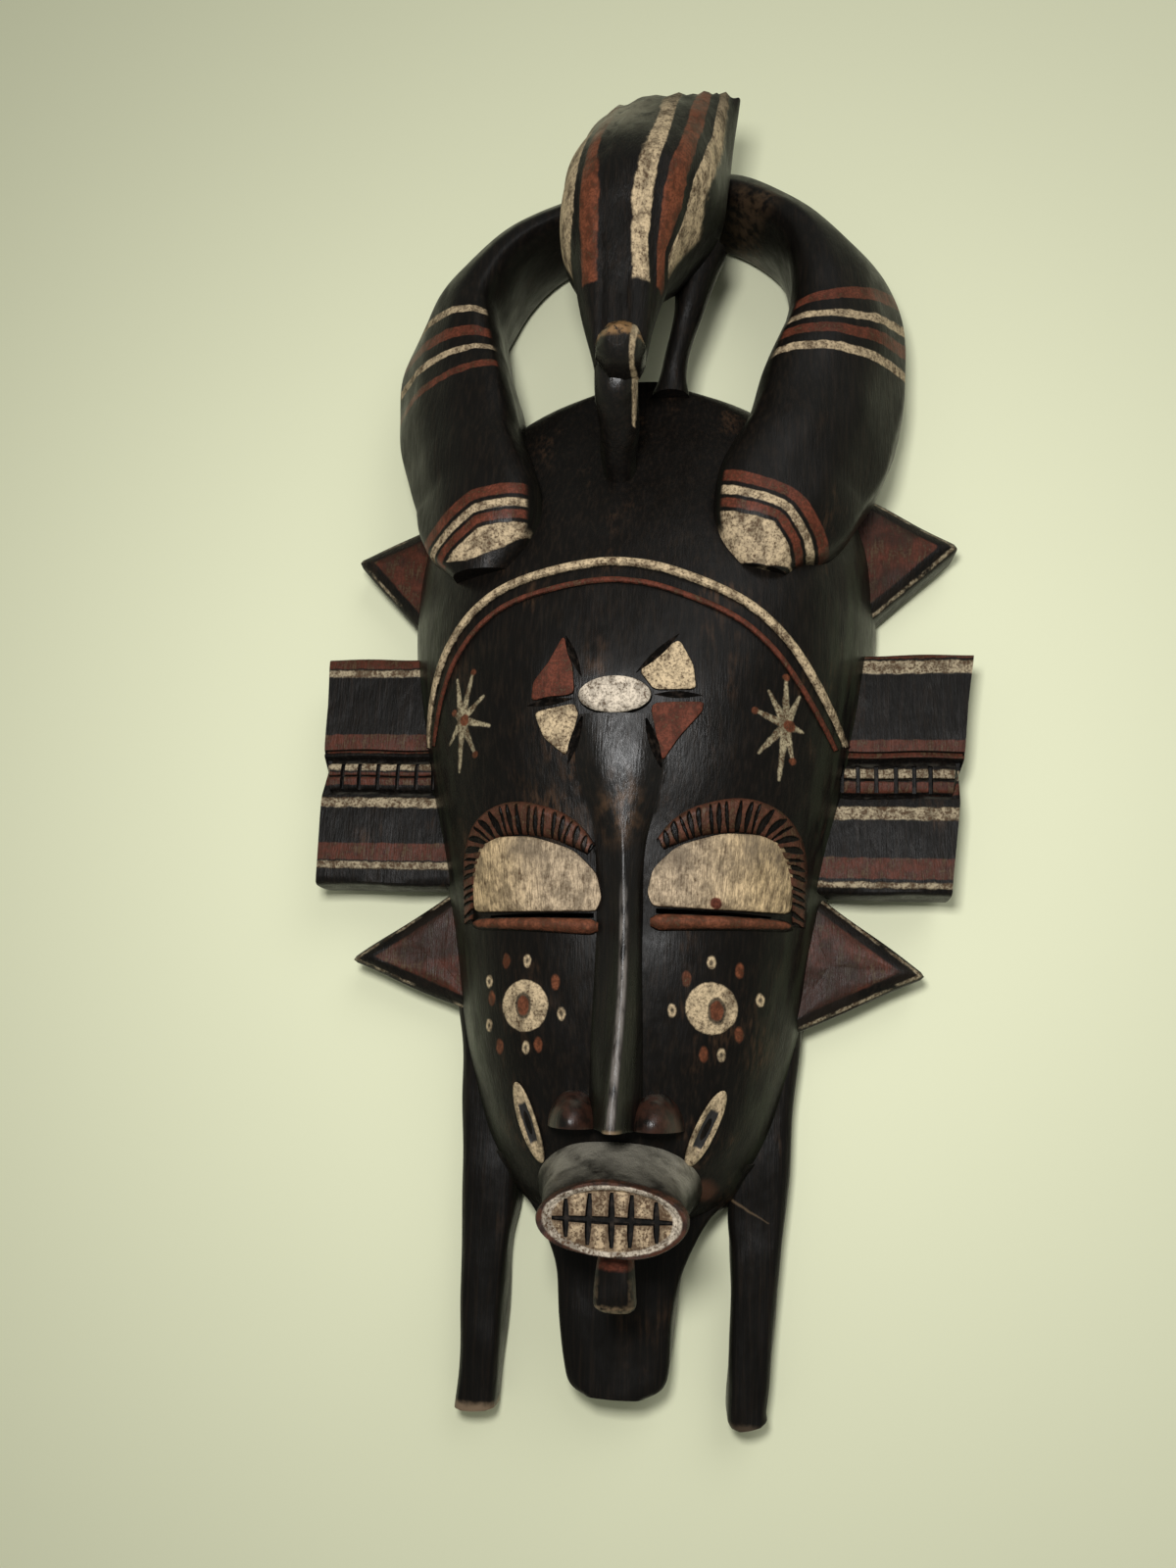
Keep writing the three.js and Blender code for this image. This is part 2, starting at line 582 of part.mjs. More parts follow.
// The finished mesh, with the middle of its back at the origin
function toGeometry(solid) {
  const { vertProperties, triVerts, numProp } = solid.getMesh();
  const geometry = new THREE.BufferGeometry();
  const places = new Float32Array((vertProperties.length / numProp) * 3);
  for (let i = 0; i < places.length / 3; i += 1) {
    for (let k = 0; k < 3; k += 1) places[i * 3 + k] = vertProperties[i * numProp + k];
  }
  geometry.setAttribute('position', new THREE.BufferAttribute(places, 3));
  geometry.setIndex(new THREE.BufferAttribute(new Uint32Array(triVerts), 1));
  geometry.computeBoundingBox();
  const { min, max } = geometry.boundingBox;
  geometry.translate(-(min.x + max.x) / 2, -(min.y + max.y) / 2, -min.z);
  geometry.computeVertexNormals();
  return geometry;
}

const stainedWood = new THREE.MeshStandardMaterial({ color: 0x2b2522, roughness: 0.5, metalness: 0 });
const mask = new THREE.Mesh(toGeometry(carved), stainedWood);
mask.name = 'carved_mask';
const group = new THREE.Group();
group.add(mask);
export default group;
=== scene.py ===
"""A carved wooden kpelie mask that lies on its back on a pale floor: one piece of stained, painted wood.

Shapes are worked out in millimetres in the carver's frame: X across the face, Y up the face, Z out of
the face. The finished mesh is in metres, moved so that the middle of the back is at the origin.
"""
import math

import bpy
import numpy as np
from mathutils import Matrix, Vector


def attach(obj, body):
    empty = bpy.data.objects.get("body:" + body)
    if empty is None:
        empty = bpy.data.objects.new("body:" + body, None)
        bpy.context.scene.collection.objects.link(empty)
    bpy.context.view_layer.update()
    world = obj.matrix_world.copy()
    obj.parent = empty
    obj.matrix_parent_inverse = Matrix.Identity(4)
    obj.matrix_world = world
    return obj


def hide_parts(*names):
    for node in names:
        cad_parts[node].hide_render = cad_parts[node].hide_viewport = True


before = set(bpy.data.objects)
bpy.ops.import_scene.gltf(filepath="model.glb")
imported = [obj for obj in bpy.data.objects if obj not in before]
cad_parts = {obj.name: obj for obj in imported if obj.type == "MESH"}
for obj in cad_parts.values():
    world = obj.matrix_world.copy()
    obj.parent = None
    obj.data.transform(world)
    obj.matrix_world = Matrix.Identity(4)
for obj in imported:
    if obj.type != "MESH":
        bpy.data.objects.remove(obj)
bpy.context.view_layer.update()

# The camera stands where the photograph was taken from: places in metres, the image 1200 x 1600
CAMERA_PLACE = (0.03818, -0.09656, 0.391)
CAMERA_TARGET = (-0.01895, -0.0132, 0.0)
CAMERA_ROLL = math.radians(2.11)
IMAGE_HEIGHT = 1600
FOCAL_PIXELS = 1202
SENSOR = 36.0


def in_scene(name, data):
    """A new object of the data, linked to the scene and left at the origin."""
    made = bpy.data.objects.new(name, data)
    bpy.context.scene.collection.objects.link(made)
    return made


def photo_camera():
    """Camera at the photograph's place, turned to its target, then rolled about its own axis."""
    data = bpy.data.cameras.new("photo_camera")
    data.sensor_width = SENSOR
    data.lens = SENSOR * FOCAL_PIXELS / IMAGE_HEIGHT
    camera = in_scene("photo_camera", data)
    back = (Vector(CAMERA_PLACE) - Vector(CAMERA_TARGET)).normalized()
    right = Vector((0, 1, 0)).cross(back).normalized()
    turn = Matrix([right, back.cross(right), back]).transposed().to_4x4()
    camera.matrix_world = Matrix.Translation(CAMERA_PLACE) @ turn @ Matrix.Rotation(CAMERA_ROLL, 4, "Z")
    bpy.context.scene.camera = camera


def through(pairs):
    """Smooth curve of one value: cubic Hermite pieces through [place, value] pairs, level past the ends."""
    at, value = np.array(pairs, float).T
    run = np.diff(at)
    slope = np.diff(value) / run
    inner = (slope[:-1] * run[1:] + slope[1:] * run[:-1]) / (run[:-1] + run[1:])
    tangent = np.concatenate([slope[:1], inner, slope[-1:]])

    def curve(place):
        place = np.clip(place, at[0], at[-1])
        i = np.clip(np.searchsorted(at, place, side="right") - 1, 0, len(run) - 1)
        t = (place - at[i]) / run[i]
        return (value[i] * (1 + 2 * t) * (1 - t) ** 2 + run[i] * tangent[i] * t * (1 - t) ** 2
                + value[i + 1] * t * t * (3 - 2 * t) + run[i] * tangent[i + 1] * t * t * (t - 1))

    return curve


# The face and head
CHIN_Y, CROWN_Y = -156.0, 120.0
HEAD_HALF_WIDTH = through([[CHIN_Y, 18], [-149, 31], [-134, 42], [-110, 51], [-65, 60], [-10, 72],
                           [40, 79], [66, 77], [90, 67], [104, 55], [113, 38], [CROWN_Y, 14]])
HEAD_HEIGHT = through([[CHIN_Y, 22], [-149, 30], [-134, 40], [-110, 46], [-89, 50], [-65, 52], [-40, 55],
                       [-15, 60], [5, 63], [25, 63], [45, 60], [65, 54], [85, 45], [105, 35], [CROWN_Y, 29]])
HEAD_ROUNDNESS, CROWN_ROUNDNESS, CROWN_START_Y = 2.4, 4.0, 80.0
WALL = 11.0
HOLLOW_FOOT_Y, HOLLOW_TOP_Y = -126.0, 100.0

# Eyes and brows, as on the right: the shift is added for the right eye, and its opposite for the left
EYE_SHIFT = np.array([2.0, 0.9])
LID_OUTLINE = [[8, -61.8], [18, -62], [28, -62], [38, -61.8], [48.2, -61.4], [48.8, -50], [46, -42],
               [39, -39.6], [28, -40], [15, -44.2], [8, -51], [6.4, -58]]
LID_RISE = 2.6
BROW_PLACES = [[10, -44], [15, -40], [20.3, -37.1], [26.5, -35.4], [32.5, -34.4], [38, -34.7], [43.5, -36.8],
               [47.4, -41.5], [49.8, -50], [50.5, -64.5]]
BROW_WIDTH = through([[0, 4], [0.1, 7.5], [0.25, 9.6], [0.5, 10.6], [0.65, 9.5], [0.78, 6.8], [1, 4.4]])
BROW_RISE, BROW_NOTCH_DEPTH, BROW_NOTCHES = 3.0, 1.3, 24
BAR_NEAR, BAR_FAR, BAR_RISE = np.array([7.5, -66.2, 6.0]), np.array([48.5, -64.8, 4.0]), 3.4
SLIT_Y, SLIT_HEIGHT, SLIT_NEAR_X, SLIT_FAR_X = -62.9, 1.5, 9.0, 42.0

# Nose, muzzle and mouth
NOSE_TOP_Y, NOSE_FOOT_Y, NOSE_TIP_Z = -6.0, -123.5, 66.0
NOSE_X = through([[NOSE_FOOT_Y, 1.2], [-80, 2.6], [-45, 1.6], [NOSE_TOP_Y, -1]])
NOSTRIL_X, NOSTRIL_HALF_WIDTH, NOSTRIL_HEIGHT, NOSTRIL_RISE = 12.0, 8.0, 10.0, 13.0
MOUTH_X, MOUTH_Y, MOUTH_HALF_WIDTH, MOUTH_HALF_HEIGHT, MOUTH_Z = 2.6, -145.0, 20.5, 9.8, 68.0
TOOTH_GAP, TOOTH_DEPTH = 2.2, 1.6
TOOTH_GAP_PLACES = [-9.8, -3.4, 2.4, 7.8, 14.2]
TONGUE_HALF_WIDTH, TONGUE_FOOT_Y, TONGUE_FRONT_Z, TONGUE_THICKNESS = 5.2, -170.0, 59.0, 9.0

# Forehead
ARCH_PLACES = [[-68.5, -7], [-64.5, 6], [-58.5, 18.5], [-48, 29.5], [-34, 36.8], [-10, 41.5], [5, 41],
               [18, 37.2], [36, 29.5], [48, 20], [57.5, 8], [67.5, -7]]
ARCH_WIDTH, ARCH_RISE = 3.8, 1.8
BOSS_X, BOSS_Y, BOSS_HALF_WIDTH, BOSS_HALF_HEIGHT, BOSS_RISE = -1.6, -0.6, 11.0, 5.6, 3.0
PETAL_RISE = 1.0
CREAM_PETALS = [[[16.8, 16.8], [21.3, 8.7], [22.1, 1.4], [9.8, 0.8], [5.2, 6.7]],
                [[-26.1, -4.7], [-13.5, -2.7], [-12.1, -5.8], [-15.7, -18.3], [-23, -12.4]]]
RED_PETALS = [[[-17.3, 18.3], [-14.2, 8.3], [-13.5, -0.2], [-27.1, -1.5], [-26.4, 4.1], [-21.8, 9.8]],
              [[8.4, -2.7], [24.4, -1.8], [23.8, -4.9], [17.3, -12.4], [12.2, -19.9]]]
CHIP_CUTS = [[[-16.8, 17.9], [-11.7, 5.2]], [[-28.3, -2.6], [-14, -1.2]], [[-11.1, -6.7], [-15.6, -20.7]],
             [[4.5, 6.1], [16.8, 18.2]], [[9.9, -0.2], [23.7, 0]], [[7.7, -7.4], [12.2, -21.2]]]
CUT_WIDTH, CUT_DEPTH = 2.8, 1.3

# Ears, side points, legs and chin plate
EAR_TOP_Y, EAR_FOOT_Y, EAR_ROOT_X, EAR_FRONT_Z, EAR_BACK_Z = 24.5, -53.0, 50.0, 23.0, 4.0
RIGHT_EAR_TOP_X, RIGHT_EAR_FOOT_X, LEFT_EAR_TOP_X, LEFT_EAR_FOOT_X = 107.0, 98.5, 104.5, 103.5
EAR_RIMS = [[RIGHT_EAR_TOP_X, RIGHT_EAR_FOOT_X], [LEFT_EAR_TOP_X, LEFT_EAR_FOOT_X]]
RIB_START_X, RIB_Y, RIB_HALF, RIB_SINK, RIB_NOTCH, RIB_SQUARES = 66.0, -16.4, 5.0, 1.6, 2.4, 6
GROOVE_WIDTH, GROOVE_DEPTH = 1.6, 1.5
POINT_FRONT_Z, POINT_BACK_Z, POINT_BEVEL = 18.0, 4.0, 4.0
SIDE_POINTS = [[[105.5, 63.5], [66, 88], [66, 29]], [[-101, 63], [-66, 79], [-66, 25]],
               [[92, -76.5], [52, -47], [44, -99]], [[-92.5, -76.5], [-52, -49], [-44, -95]]]

# Bars down the face: rows of [y, middle x, half width, slant], then the back and the front
LEG_FRONT_Z, LEG_BACK_Z, LEG_STEPS = 16.0, 1.0, 84
LEFT_FOOT, RIGHT_FOOT, CHIN_FOOT = -209.0, -208.0, -201.0
LEFT_LEG = [[-88, -47, 9], [-110, -44, 9], [-145, -42.3, 8.9], [-161, -42.8, 7.6], [-175, -42.8, 6.9],
            [-192, -42.8, 6.2], [LEFT_FOOT + 2, -43.6, 6.3], [LEFT_FOOT + 0.5, -43.6, 6.0],
            [LEFT_FOOT, -43.6, 5.2]]
RIGHT_LEG = [[-88, 45, 9], [-110, 43, 9.3], [-145, 40.5, 8.9], [-159, 40.2, 7.7], [-175, 39.6, 6.8],
             [-194, 38.4, 6.2], [RIGHT_FOOT + 4, 37.6, 5.8, 0.6], [RIGHT_FOOT + 1, 38.2, 5.4, 1],
             [RIGHT_FOOT, 38.8, 4, 1]]
CHIN_PLATE = [[-134, 0, 40], [-144, 0, 32.5], [-151, -0.4, 26.5], [-158, -0.6, 22.5], [-167, -0.6, 18.9],
              [-180, -0.7, 17], [-192, -0.6, 15.8], [CHIN_FOOT + 3, -0.6, 14], [CHIN_FOOT, -0.6, 9]]
CHIN_PLATE_FRONT_Z, CHIN_PLATE_BACK_Z, CHIN_PLATE_STEPS = 22.0, 4.0, 66

# Horns and bird
HORN_BACK_Z = 2.0
RIGHT_HORN = [[0, 191], [20, 193], [31, 191.5], [43, 184.5], [54.5, 174], [62.5, 161], [67, 147],
              [68, 133], [65.5, 118], [58.5, 90], [52, 75], [45, 60], [41.5, 50], [40.5, 41.5]]
LEFT_HORN = [[0, 188], [-18, 188.6], [-31, 185.2], [-40.8, 179.2], [-50.6, 169.8], [-58, 159.6],
             [-64.3, 147.5], [-66, 132.5], [-65, 117], [-58.5, 90], [-52.5, 75], [-48, 60], [-46.2, 51],
             [-45.6, 42]]
HORN_HALF_WIDTH = through([[0, 8.5], [0.16, 8.8], [0.3, 11.3], [0.45, 17.8], [0.52, 20.6], [0.6, 22.6],
                           [0.8, 22.5], [0.9, 21], [0.95, 17], [1, 8]])
HORN_RIDGE_Z = through([[0, 34], [0.12, 36], [0.35, 44], [0.58, 51], [0.8, 60], [0.9, 63.5], [1, 57.5]])
HORN_OUTER_Z = through([[0, 26], [0.12, 25], [0.35, 26], [0.58, 29], [0.8, 42], [0.9, 50], [1, 54]])
HORN_UNDER_Z = through([[0, HORN_BACK_Z], [0.62, HORN_BACK_Z], [0.76, 16], [0.9, 34], [1, 42]])
LEFT_HORN_BULK = through([[0, 0.94], [0.28, 0.87], [0.45, 0.88], [0.6, 0.94], [0.85, 0.95], [0.95, 1.04],
                          [1, 1.2]])
BIRD_NECK_Y, TAIL_START_Y, BIRD_TAIL_Y, TAIL_DROP = 97.0, 179.0, 208.0, 6.0
BIRD_X = through([[BIRD_NECK_Y, -2.3], [121, -2.4], [144, -2], [157, 1.3], [178, 3.4], [BIRD_TAIL_Y, 8.6]])
BIRD_HALF = through([[BIRD_NECK_Y, 7.4], [104, 9], [121, 12.8], [128, 14.6], [142, 20], [157, 24.6],
                     [170, 25.8], [185, 25], [196, 24.6], [BIRD_TAIL_Y, 24]])
BIRD_FRONT = through([[BIRD_NECK_Y, 80], [104, 82], [121, 84.5], [142, 90], [156, 91.8], [167, 88], [178, 81],
                      [190, 73], [200, 65], [BIRD_TAIL_Y, 58]])
BIRD_BACK = through([[BIRD_NECK_Y, 70], [112, 66], [126, 60], [140, 42], [155, 27], [170, 22], [188, 26],
                     [198, 36], [BIRD_TAIL_Y, 46]])
BIRD_HEAD_X, BIRD_HEAD_Y = -0.7, 98.0
BIRD_LEGS = {"right": [[158, 42, 20, 8.5], [146, 40, 17.6, 6], [132, 38, 14.2, 4.2], [119, 34, 11.2, 4.4],
                       [112, 30, 9.5, 7]],
             "left": [[158, 42, -15, 8], [146, 40, -13.4, 5], [132, 38, -11.6, 4], [119, 34, -10.6, 4],
                      [112, 30, -9, 6.5]]}
SCARS = [[-30.5, -112, -22, -135], [31, -112, 20.5, -134]]
SCAR_WIDTH, SCAR_RISE = 6.2, 1.1

SINK, EDGE_SINK = 5.0, 1.0
MIDDLE = ((RIGHT_EAR_TOP_X - LEFT_EAR_TOP_X) / 2, (LEFT_FOOT + BIRD_TAIL_Y) / 2, 0.0)

# The bird's stripes: where their edges run across the back, as X at each of these heights
FEATHER_ROWS = [121, 132, 146, 163, 180, 203]
FEATHER_EDGES = [
    [-24, -25, -29, -32, -32, -30],
    [-16.5, -17.5, -15.3, -14.2, -12.5, -11],
    [-13.2, -13.7, -14.5, -13.3, -11.5, -10],
    [-8.3, -8.3, -7.6, -9, -7.5, -6],
    [2.2, 2.0, 2.1, 6.1, 8, 9.5],
    [7.5, 6.8, 8.6, 11.8, 13, 14],
    [9, 9.2, 10.7, 15.1, 17, 18.4],
    [10.7, 11.6, 16.4, 20.2, 22, 23.5],
    [11.5, 12.2, 17.2, 22, 24.5, 26],
    [13, 15.5, 20.5, 25.5, 27.5, 29],
    [20, 24, 30, 36, 38, 38],
]
FEATHER_GROOVES = [[1.5, 0.5, 0.8], [3.15, 0.12, 0.9], [3.5, 0.1, 0.7], [3.85, 0.1, 0.9], [5.5, 0.5, 0.9],
                   [7.5, 0.5, 0.9], [9.15, 0.15, 0.8]]

# The horns' ends: the outline of each cream face
HORN_ENDS = {-1: [[-57.4, 45.6], [-45.5, 53.6], [-29.2, 55.7], [-30.6, 52.4], [-38.6, 47.6], [-49.8, 44.3]],
             1: [[22, 53.5], [23.5, 59.2], [35.5, 55.5], [44.2, 53], [48.4, 47.3], [49.8, 42], [42.3, 41],
                 [31, 43.2]]}


def between(a, b, t):
    """a + (b - a) t."""
    return a + (b - a) * t


def carver_marks(x, y):
    """Shallow waves left by the knife: products of slow sines, under a third of a millimetre."""
    return (0.16 * np.sin(x / 5.1 + 1.4 * np.sin(y / 15.0)) * np.sin(y / 8.3 + 0.7)
            + 0.12 * np.sin(y / 4.3 + 1.1 * np.sin(x / 11.0)))


def head_z(x, y, less=0.0):
    """Height of the head: top * sqrt(1 - |x / half| ** roundness), the roundness growing at the crown."""
    half = HEAD_HALF_WIDTH(y) - less
    top = HEAD_HEIGHT(y) - less
    crown = np.clip((y - CROWN_START_Y) / (CROWN_Y - CROWN_START_Y), 0, 1)
    share = np.minimum(np.abs(x) / half, 1)
    arch = np.sqrt(1 - share ** between(HEAD_ROUNDNESS, CROWN_ROUNDNESS, crown))
    return arch * (top + carver_marks(x, y))


def uneven(points, depth=0.3, wave=12.0):
    """Hand-cut unevenness: each point moves by slow sines of its place, and not down at the back plane."""
    x, y, z = np.moveaxis(points / wave, -1, 0)
    push = np.stack([np.sin(1.7 * y + 2.1 * z) + np.sin(3.3 * z - 2.3 * y),
                     np.sin(2.3 * x + 1.1 * z) + np.sin(2.7 * z - 1.9 * x),
                     np.sin(2.6 * x + 1.9 * y) + np.sin(3.1 * y - 1.2 * x)], -1)
    push[..., 2] *= np.clip(points[..., 2] / 5 - 0.4, 0, 1)
    return points + 0.5 * depth * push


def grid(rows, columns):
    """Two parameters from 0 to 1: down the rows, and along the columns."""
    return np.linspace(0, 1, rows)[:, None], np.linspace(0, 1, columns)[None, :]


def around(count):
    """Cosine and sine of equal steps round a circle."""
    turn = 2 * np.pi * np.arange(count) / count
    return np.cos(turn), np.sin(turn)


def stack(*parts):
    """Joins coordinates of any matching shapes into one array of points."""
    return np.stack(np.broadcast_arrays(*parts), -1).astype(float)


def rounded(corners, per_edge, passes):
    """Closed polygons with each edge cut into equal steps, their corners eased by passes of averaging."""
    share = (np.arange(per_edge) / per_edge)[None, None, :, None]
    ahead = np.roll(corners, -1, axis=1)
    ring = corners[:, :, None] + (ahead - corners)[:, :, None] * share
    ring = ring.reshape(len(corners), -1, corners.shape[-1])
    for _ in range(passes):
        ring = (np.roll(ring, 1, 1) + 2 * ring + np.roll(ring, -1, 1)) / 4
    return ring


def stations(rows, count):
    """Rows of numbers carried along an open path: smooth curves through every column, at even steps."""
    rows = np.array(rows, float)
    at = np.arange(len(rows), dtype=float)
    place = np.linspace(0, len(rows) - 1, count)
    return np.stack([through(np.stack([at, column], -1))(place) for column in rows.T], -1)


def along_curve(places, share):
    """Points, left normals and length of a Catmull-Rom curve through the places, at shares of its length."""
    p = np.array(places, float)
    p = np.vstack([p[:1], p, p[-1:]])
    u = np.linspace(0, len(places) - 1, 40 * (len(places) - 1) + 1)
    i = np.minimum(u.astype(int), len(places) - 2)
    t = (u - i)[:, None]
    a, b, c, d = p[i], p[i + 1], p[i + 2], p[i + 3]
    fine = 0.5 * (2 * b + (c - a) * t + (2 * a - 5 * b + 4 * c - d) * t ** 2
                  + (3 * b - a - 3 * c + d) * t ** 3)
    gone = np.concatenate([[0], np.cumsum(np.hypot(*np.diff(fine, axis=0).T))])
    turn = np.gradient(fine, axis=0)
    turn /= np.linalg.norm(turn, axis=1)[:, None]
    want = np.asarray(share) * gone[-1]
    x, y, tx, ty = [np.interp(want, gone, column) for column in (*fine.T, *turn.T)]
    return np.stack([x, y], -1), np.stack([-ty, tx], -1), gone[-1]


def rings(points):
    """Closed surface of rows of points: each row is a closed ring, and a hub point closes each end."""
    rows, count = points.shape[:2]
    index = np.arange(rows * count).reshape(rows, count)
    here, ahead = index[:-1], index[1:]
    here_next, ahead_next = np.roll(here, -1, 1), np.roll(ahead, -1, 1)
    sides = np.stack([here, here_next, ahead_next, here, ahead_next, ahead], -1).reshape(-1, 3)
    hub = np.full(count, rows * count)
    first = np.stack([np.roll(index[0], -1), index[0], hub], -1)
    last = np.stack([index[-1], np.roll(index[-1], -1), hub + 1], -1)
    vertices = np.vstack([points.reshape(-1, 3), points[[0, -1]].mean(1)])
    triangles = np.vstack([sides, first, last])
    a, b, c = (vertices[triangles[:, k]] for k in range(3))
    if (a * np.cross(b, c)).sum() < 0:
        triangles = triangles[:, ::-1]
    return vertices, triangles


def joined(parts):
    """Several closed surfaces that stay clear of each other, as one."""
    start = np.cumsum([0] + [len(vertices) for vertices, _ in parts[:-1]])
    return (np.vstack([vertices for vertices, _ in parts]),
            np.vstack([triangles + first for (_, triangles), first in zip(parts, start)]))


def mirrored(part):
    """The same closed surface on the other side of the face."""
    vertices, triangles = part
    return vertices * [-1, 1, 1], triangles[:, ::-1]


def both_eyes(build):
    """The right eye's part with the shift added, and the left one's, mirrored, with the shift taken off."""
    return joined([build(EYE_SHIFT), mirrored(build(-EYE_SHIFT))])


def head_body():
    """Arched sections up the face: x = -half cos(pi s), z the head's height, closed along the flat back."""
    t, s = grid(170, 116)
    y = between(CHIN_Y, CROWN_Y, t)
    x = -HEAD_HALF_WIDTH(y) * np.cos(np.pi * s)
    return rings(stack(x, y, head_z(x, y)))


def hollow():
    """The head's own shape less the wall, with long scoops left by the gouge, open at the back."""
    t, s = grid(64, 46)
    y = between(HOLLOW_FOOT_Y, HOLLOW_TOP_Y, t)
    ends = np.sqrt(np.sin(np.pi * between(0.06, 0.94, t)))
    half = (HEAD_HALF_WIDTH(y) - WALL) * ends
    x = half * np.cos(np.pi * s)
    scoop = 0.9 * np.abs(np.sin(x / 6.5 + 0.8 * np.sin(y / 21.0))) - 0.9
    z = head_z(x / ends, y, WALL) * ends + scoop * np.sin(np.pi * s)
    arch = stack(x, y, z)
    right, left = (stack(side * half, y, -WALL) for side in (1, -1))
    return rings(np.concatenate([right, arch, left], 1))


def band_on_face(places, normals, width, side, lift):
    """A closed band along places of the face: each corner is side half widths across, lifted off the head."""
    x = places[:, :1] + normals[:, :1] * side * width / 2
    y = places[:, 1:] + normals[:, 1:] * side * width / 2
    return rings(stack(x, y, head_z(x, y) + lift))


def ridge_on_face(places, normals, width, rise, columns=9, flat=3.5):
    """A band along a curve of the face: across it, the lift falls as |side| ** flat to below the face."""
    side = np.append(np.linspace(-1, 1, columns), 0)[None]
    lift = between(-EDGE_SINK, rise, 1 - np.abs(side) ** flat)
    lift[:, -1] = -SINK
    return band_on_face(places, normals, width, side, lift)


def pad_on_face(outline, profile, passes=1, per_edge=1):
    """A raised pad: the outline shrinks to its middle through [share, lift] steps, root first."""
    outline = rounded(np.array(outline, float)[None], per_edge, passes)
    share, lift = np.array([[1.02, -SINK]] + profile, float).T[:, :, None]
    middle = outline.mean(1, keepdims=True)
    flat = between(middle, outline, share[..., None])
    x, y = flat[..., 0], flat[..., 1]
    return rings(stack(x, y, head_z(x, y) + lift))


def domed(rise):
    """Pad profile that climbs steeply and rounds over."""
    return [[1.0, rise * 0.15], [0.985, rise * 0.5], [0.94, rise * 0.78], [0.84, rise * 0.93], [0.6, rise],
            [0.3, rise * 1.03]]


def flat_topped(rise):
    """Pad profile with a crisp edge and a level top."""
    return [[1.0, rise * 0.3], [0.97, rise * 0.85], [0.92, rise], [0.6, rise], [0.3, rise]]


def arches():
    """The outer and the inner moulding over the forehead, nearer to each other at their feet."""
    share = np.linspace(0, 1, 140)
    places, normals, _ = along_curve(ARCH_PLACES, share)
    step = (6.3 - 1.9 * (2 * share - 1) ** 2)[:, None]
    inner = places - normals * step * np.sign(normals[:, 1:])
    return (ridge_on_face(places, normals, ARCH_WIDTH, ARCH_RISE),
            ridge_on_face(inner, normals, ARCH_WIDTH * 0.7, ARCH_RISE * 0.8))


def boss():
    """The oval boss in the middle of the forehead."""
    across, up = around(44)
    outline = stack(BOSS_X + BOSS_HALF_WIDTH * across, BOSS_Y + BOSS_HALF_HEIGHT * up)
    return pad_on_face(outline, domed(BOSS_RISE))


def petals(outlines):
    """Flat-topped pads with the given outlines."""
    return joined([pad_on_face(outline, flat_topped(PETAL_RISE), 2, 8) for outline in outlines])


def beside_line(start, end, t, aside):
    """X and Y at shares of the straight line between two places, moved aside to its left."""
    (x0, y0), (x1, y1) = start, end
    length = math.hypot(x1 - x0, y1 - y0)
    return between(x0, x1, t) - (y1 - y0) / length * aside, between(y0, y1, t) + (x1 - x0) / length * aside


def chip_cut(start, end, width, depth):
    """A straight cut with a pointed floor: its half width and depth swell as a sine along it."""
    t, _ = grid(14, 1)
    swell = np.maximum(np.sin(np.pi * between(0.06, 0.94, t)), 0.2)
    x, y = beside_line(start, end, t, np.array([[-1, 1, 1, 0, -1]]) * width / 2 * swell)
    lift = np.array([[3, 3, 0.4, 0, 0.4]]) - np.array([[0, 0, 0, 1, 0]]) * depth * swell
    return rings(stack(x, y, head_z(x, y) + lift))


def block(low, high):
    """A plain box as two rings, used only to cut."""
    (x0, y0, z0), (x1, y1, z1) = low, high
    x, y = np.array([x0, x1, x1, x0]), np.array([y0, y0, y1, y1])
    return rings(stack(x[None], y[None], np.array([[z0], [z1]])))


def brow_notches(share, side):
    """Leaf-shaped gouges across the brow: 1 in their middles, 0 between them and along the outer rim."""
    uneven_step = 0.16 * np.sin(43 * share) + 0.1 * np.sin(97 * share)
    wave = np.cos(2 * np.pi * (share * BROW_NOTCHES + uneven_step - 0.35 * side))
    return np.clip(2.2 * wave + 0.2 - 1.6 * ((side + 0.14) / 0.82) ** 2, 0, 1)


def brow():
    """A flat-topped ridge along a curve, its lift dropped where the gouges are."""
    t, side = grid(BROW_NOTCHES * 12 + 1, 17)
    side = np.concatenate([between(-1, 1, side), [[0]]], 1)
    lift = between(-EDGE_SINK, BROW_RISE - BROW_NOTCH_DEPTH * brow_notches(t, side), 1 - np.abs(side) ** 5)
    lift[:, -1] = -SINK

    return both_eyes(lambda shift: band_on_face(*along_curve(BROW_PLACES + shift, t[:, 0])[:2], BROW_WIDTH(t),
                                                side, lift))


def lids():
    """Half-closed lids: low pads with an upright edge and a gently rounded top."""
    top = [[1.0, 0.6], [0.99, LID_RISE * 0.75], [0.955, LID_RISE * 0.92], [0.85, LID_RISE],
           [0.6, LID_RISE * 1.04], [0.3, LID_RISE * 1.06]]
    return both_eyes(lambda shift: pad_on_face(LID_OUTLINE + shift, top, 2, 6))


def lower_bars():
    """Round-topped bars under the lids, narrower outwards, with blunt ends."""
    t = np.linspace(0, 1, 60)[:, None]
    x, y, width = between(BAR_NEAR, BAR_FAR, t).T[:, :, None]
    ends = np.maximum(1 - np.abs(2 * t - 1) ** 18, 0.3) ** 0.5
    normals = np.tile([0.0, 1.0], (60, 1))
    places = np.hstack([x, y])
    return both_eyes(lambda shift: ridge_on_face(places + shift, normals, width * ends, BAR_RISE * ends,
                                                 9, 2.6))


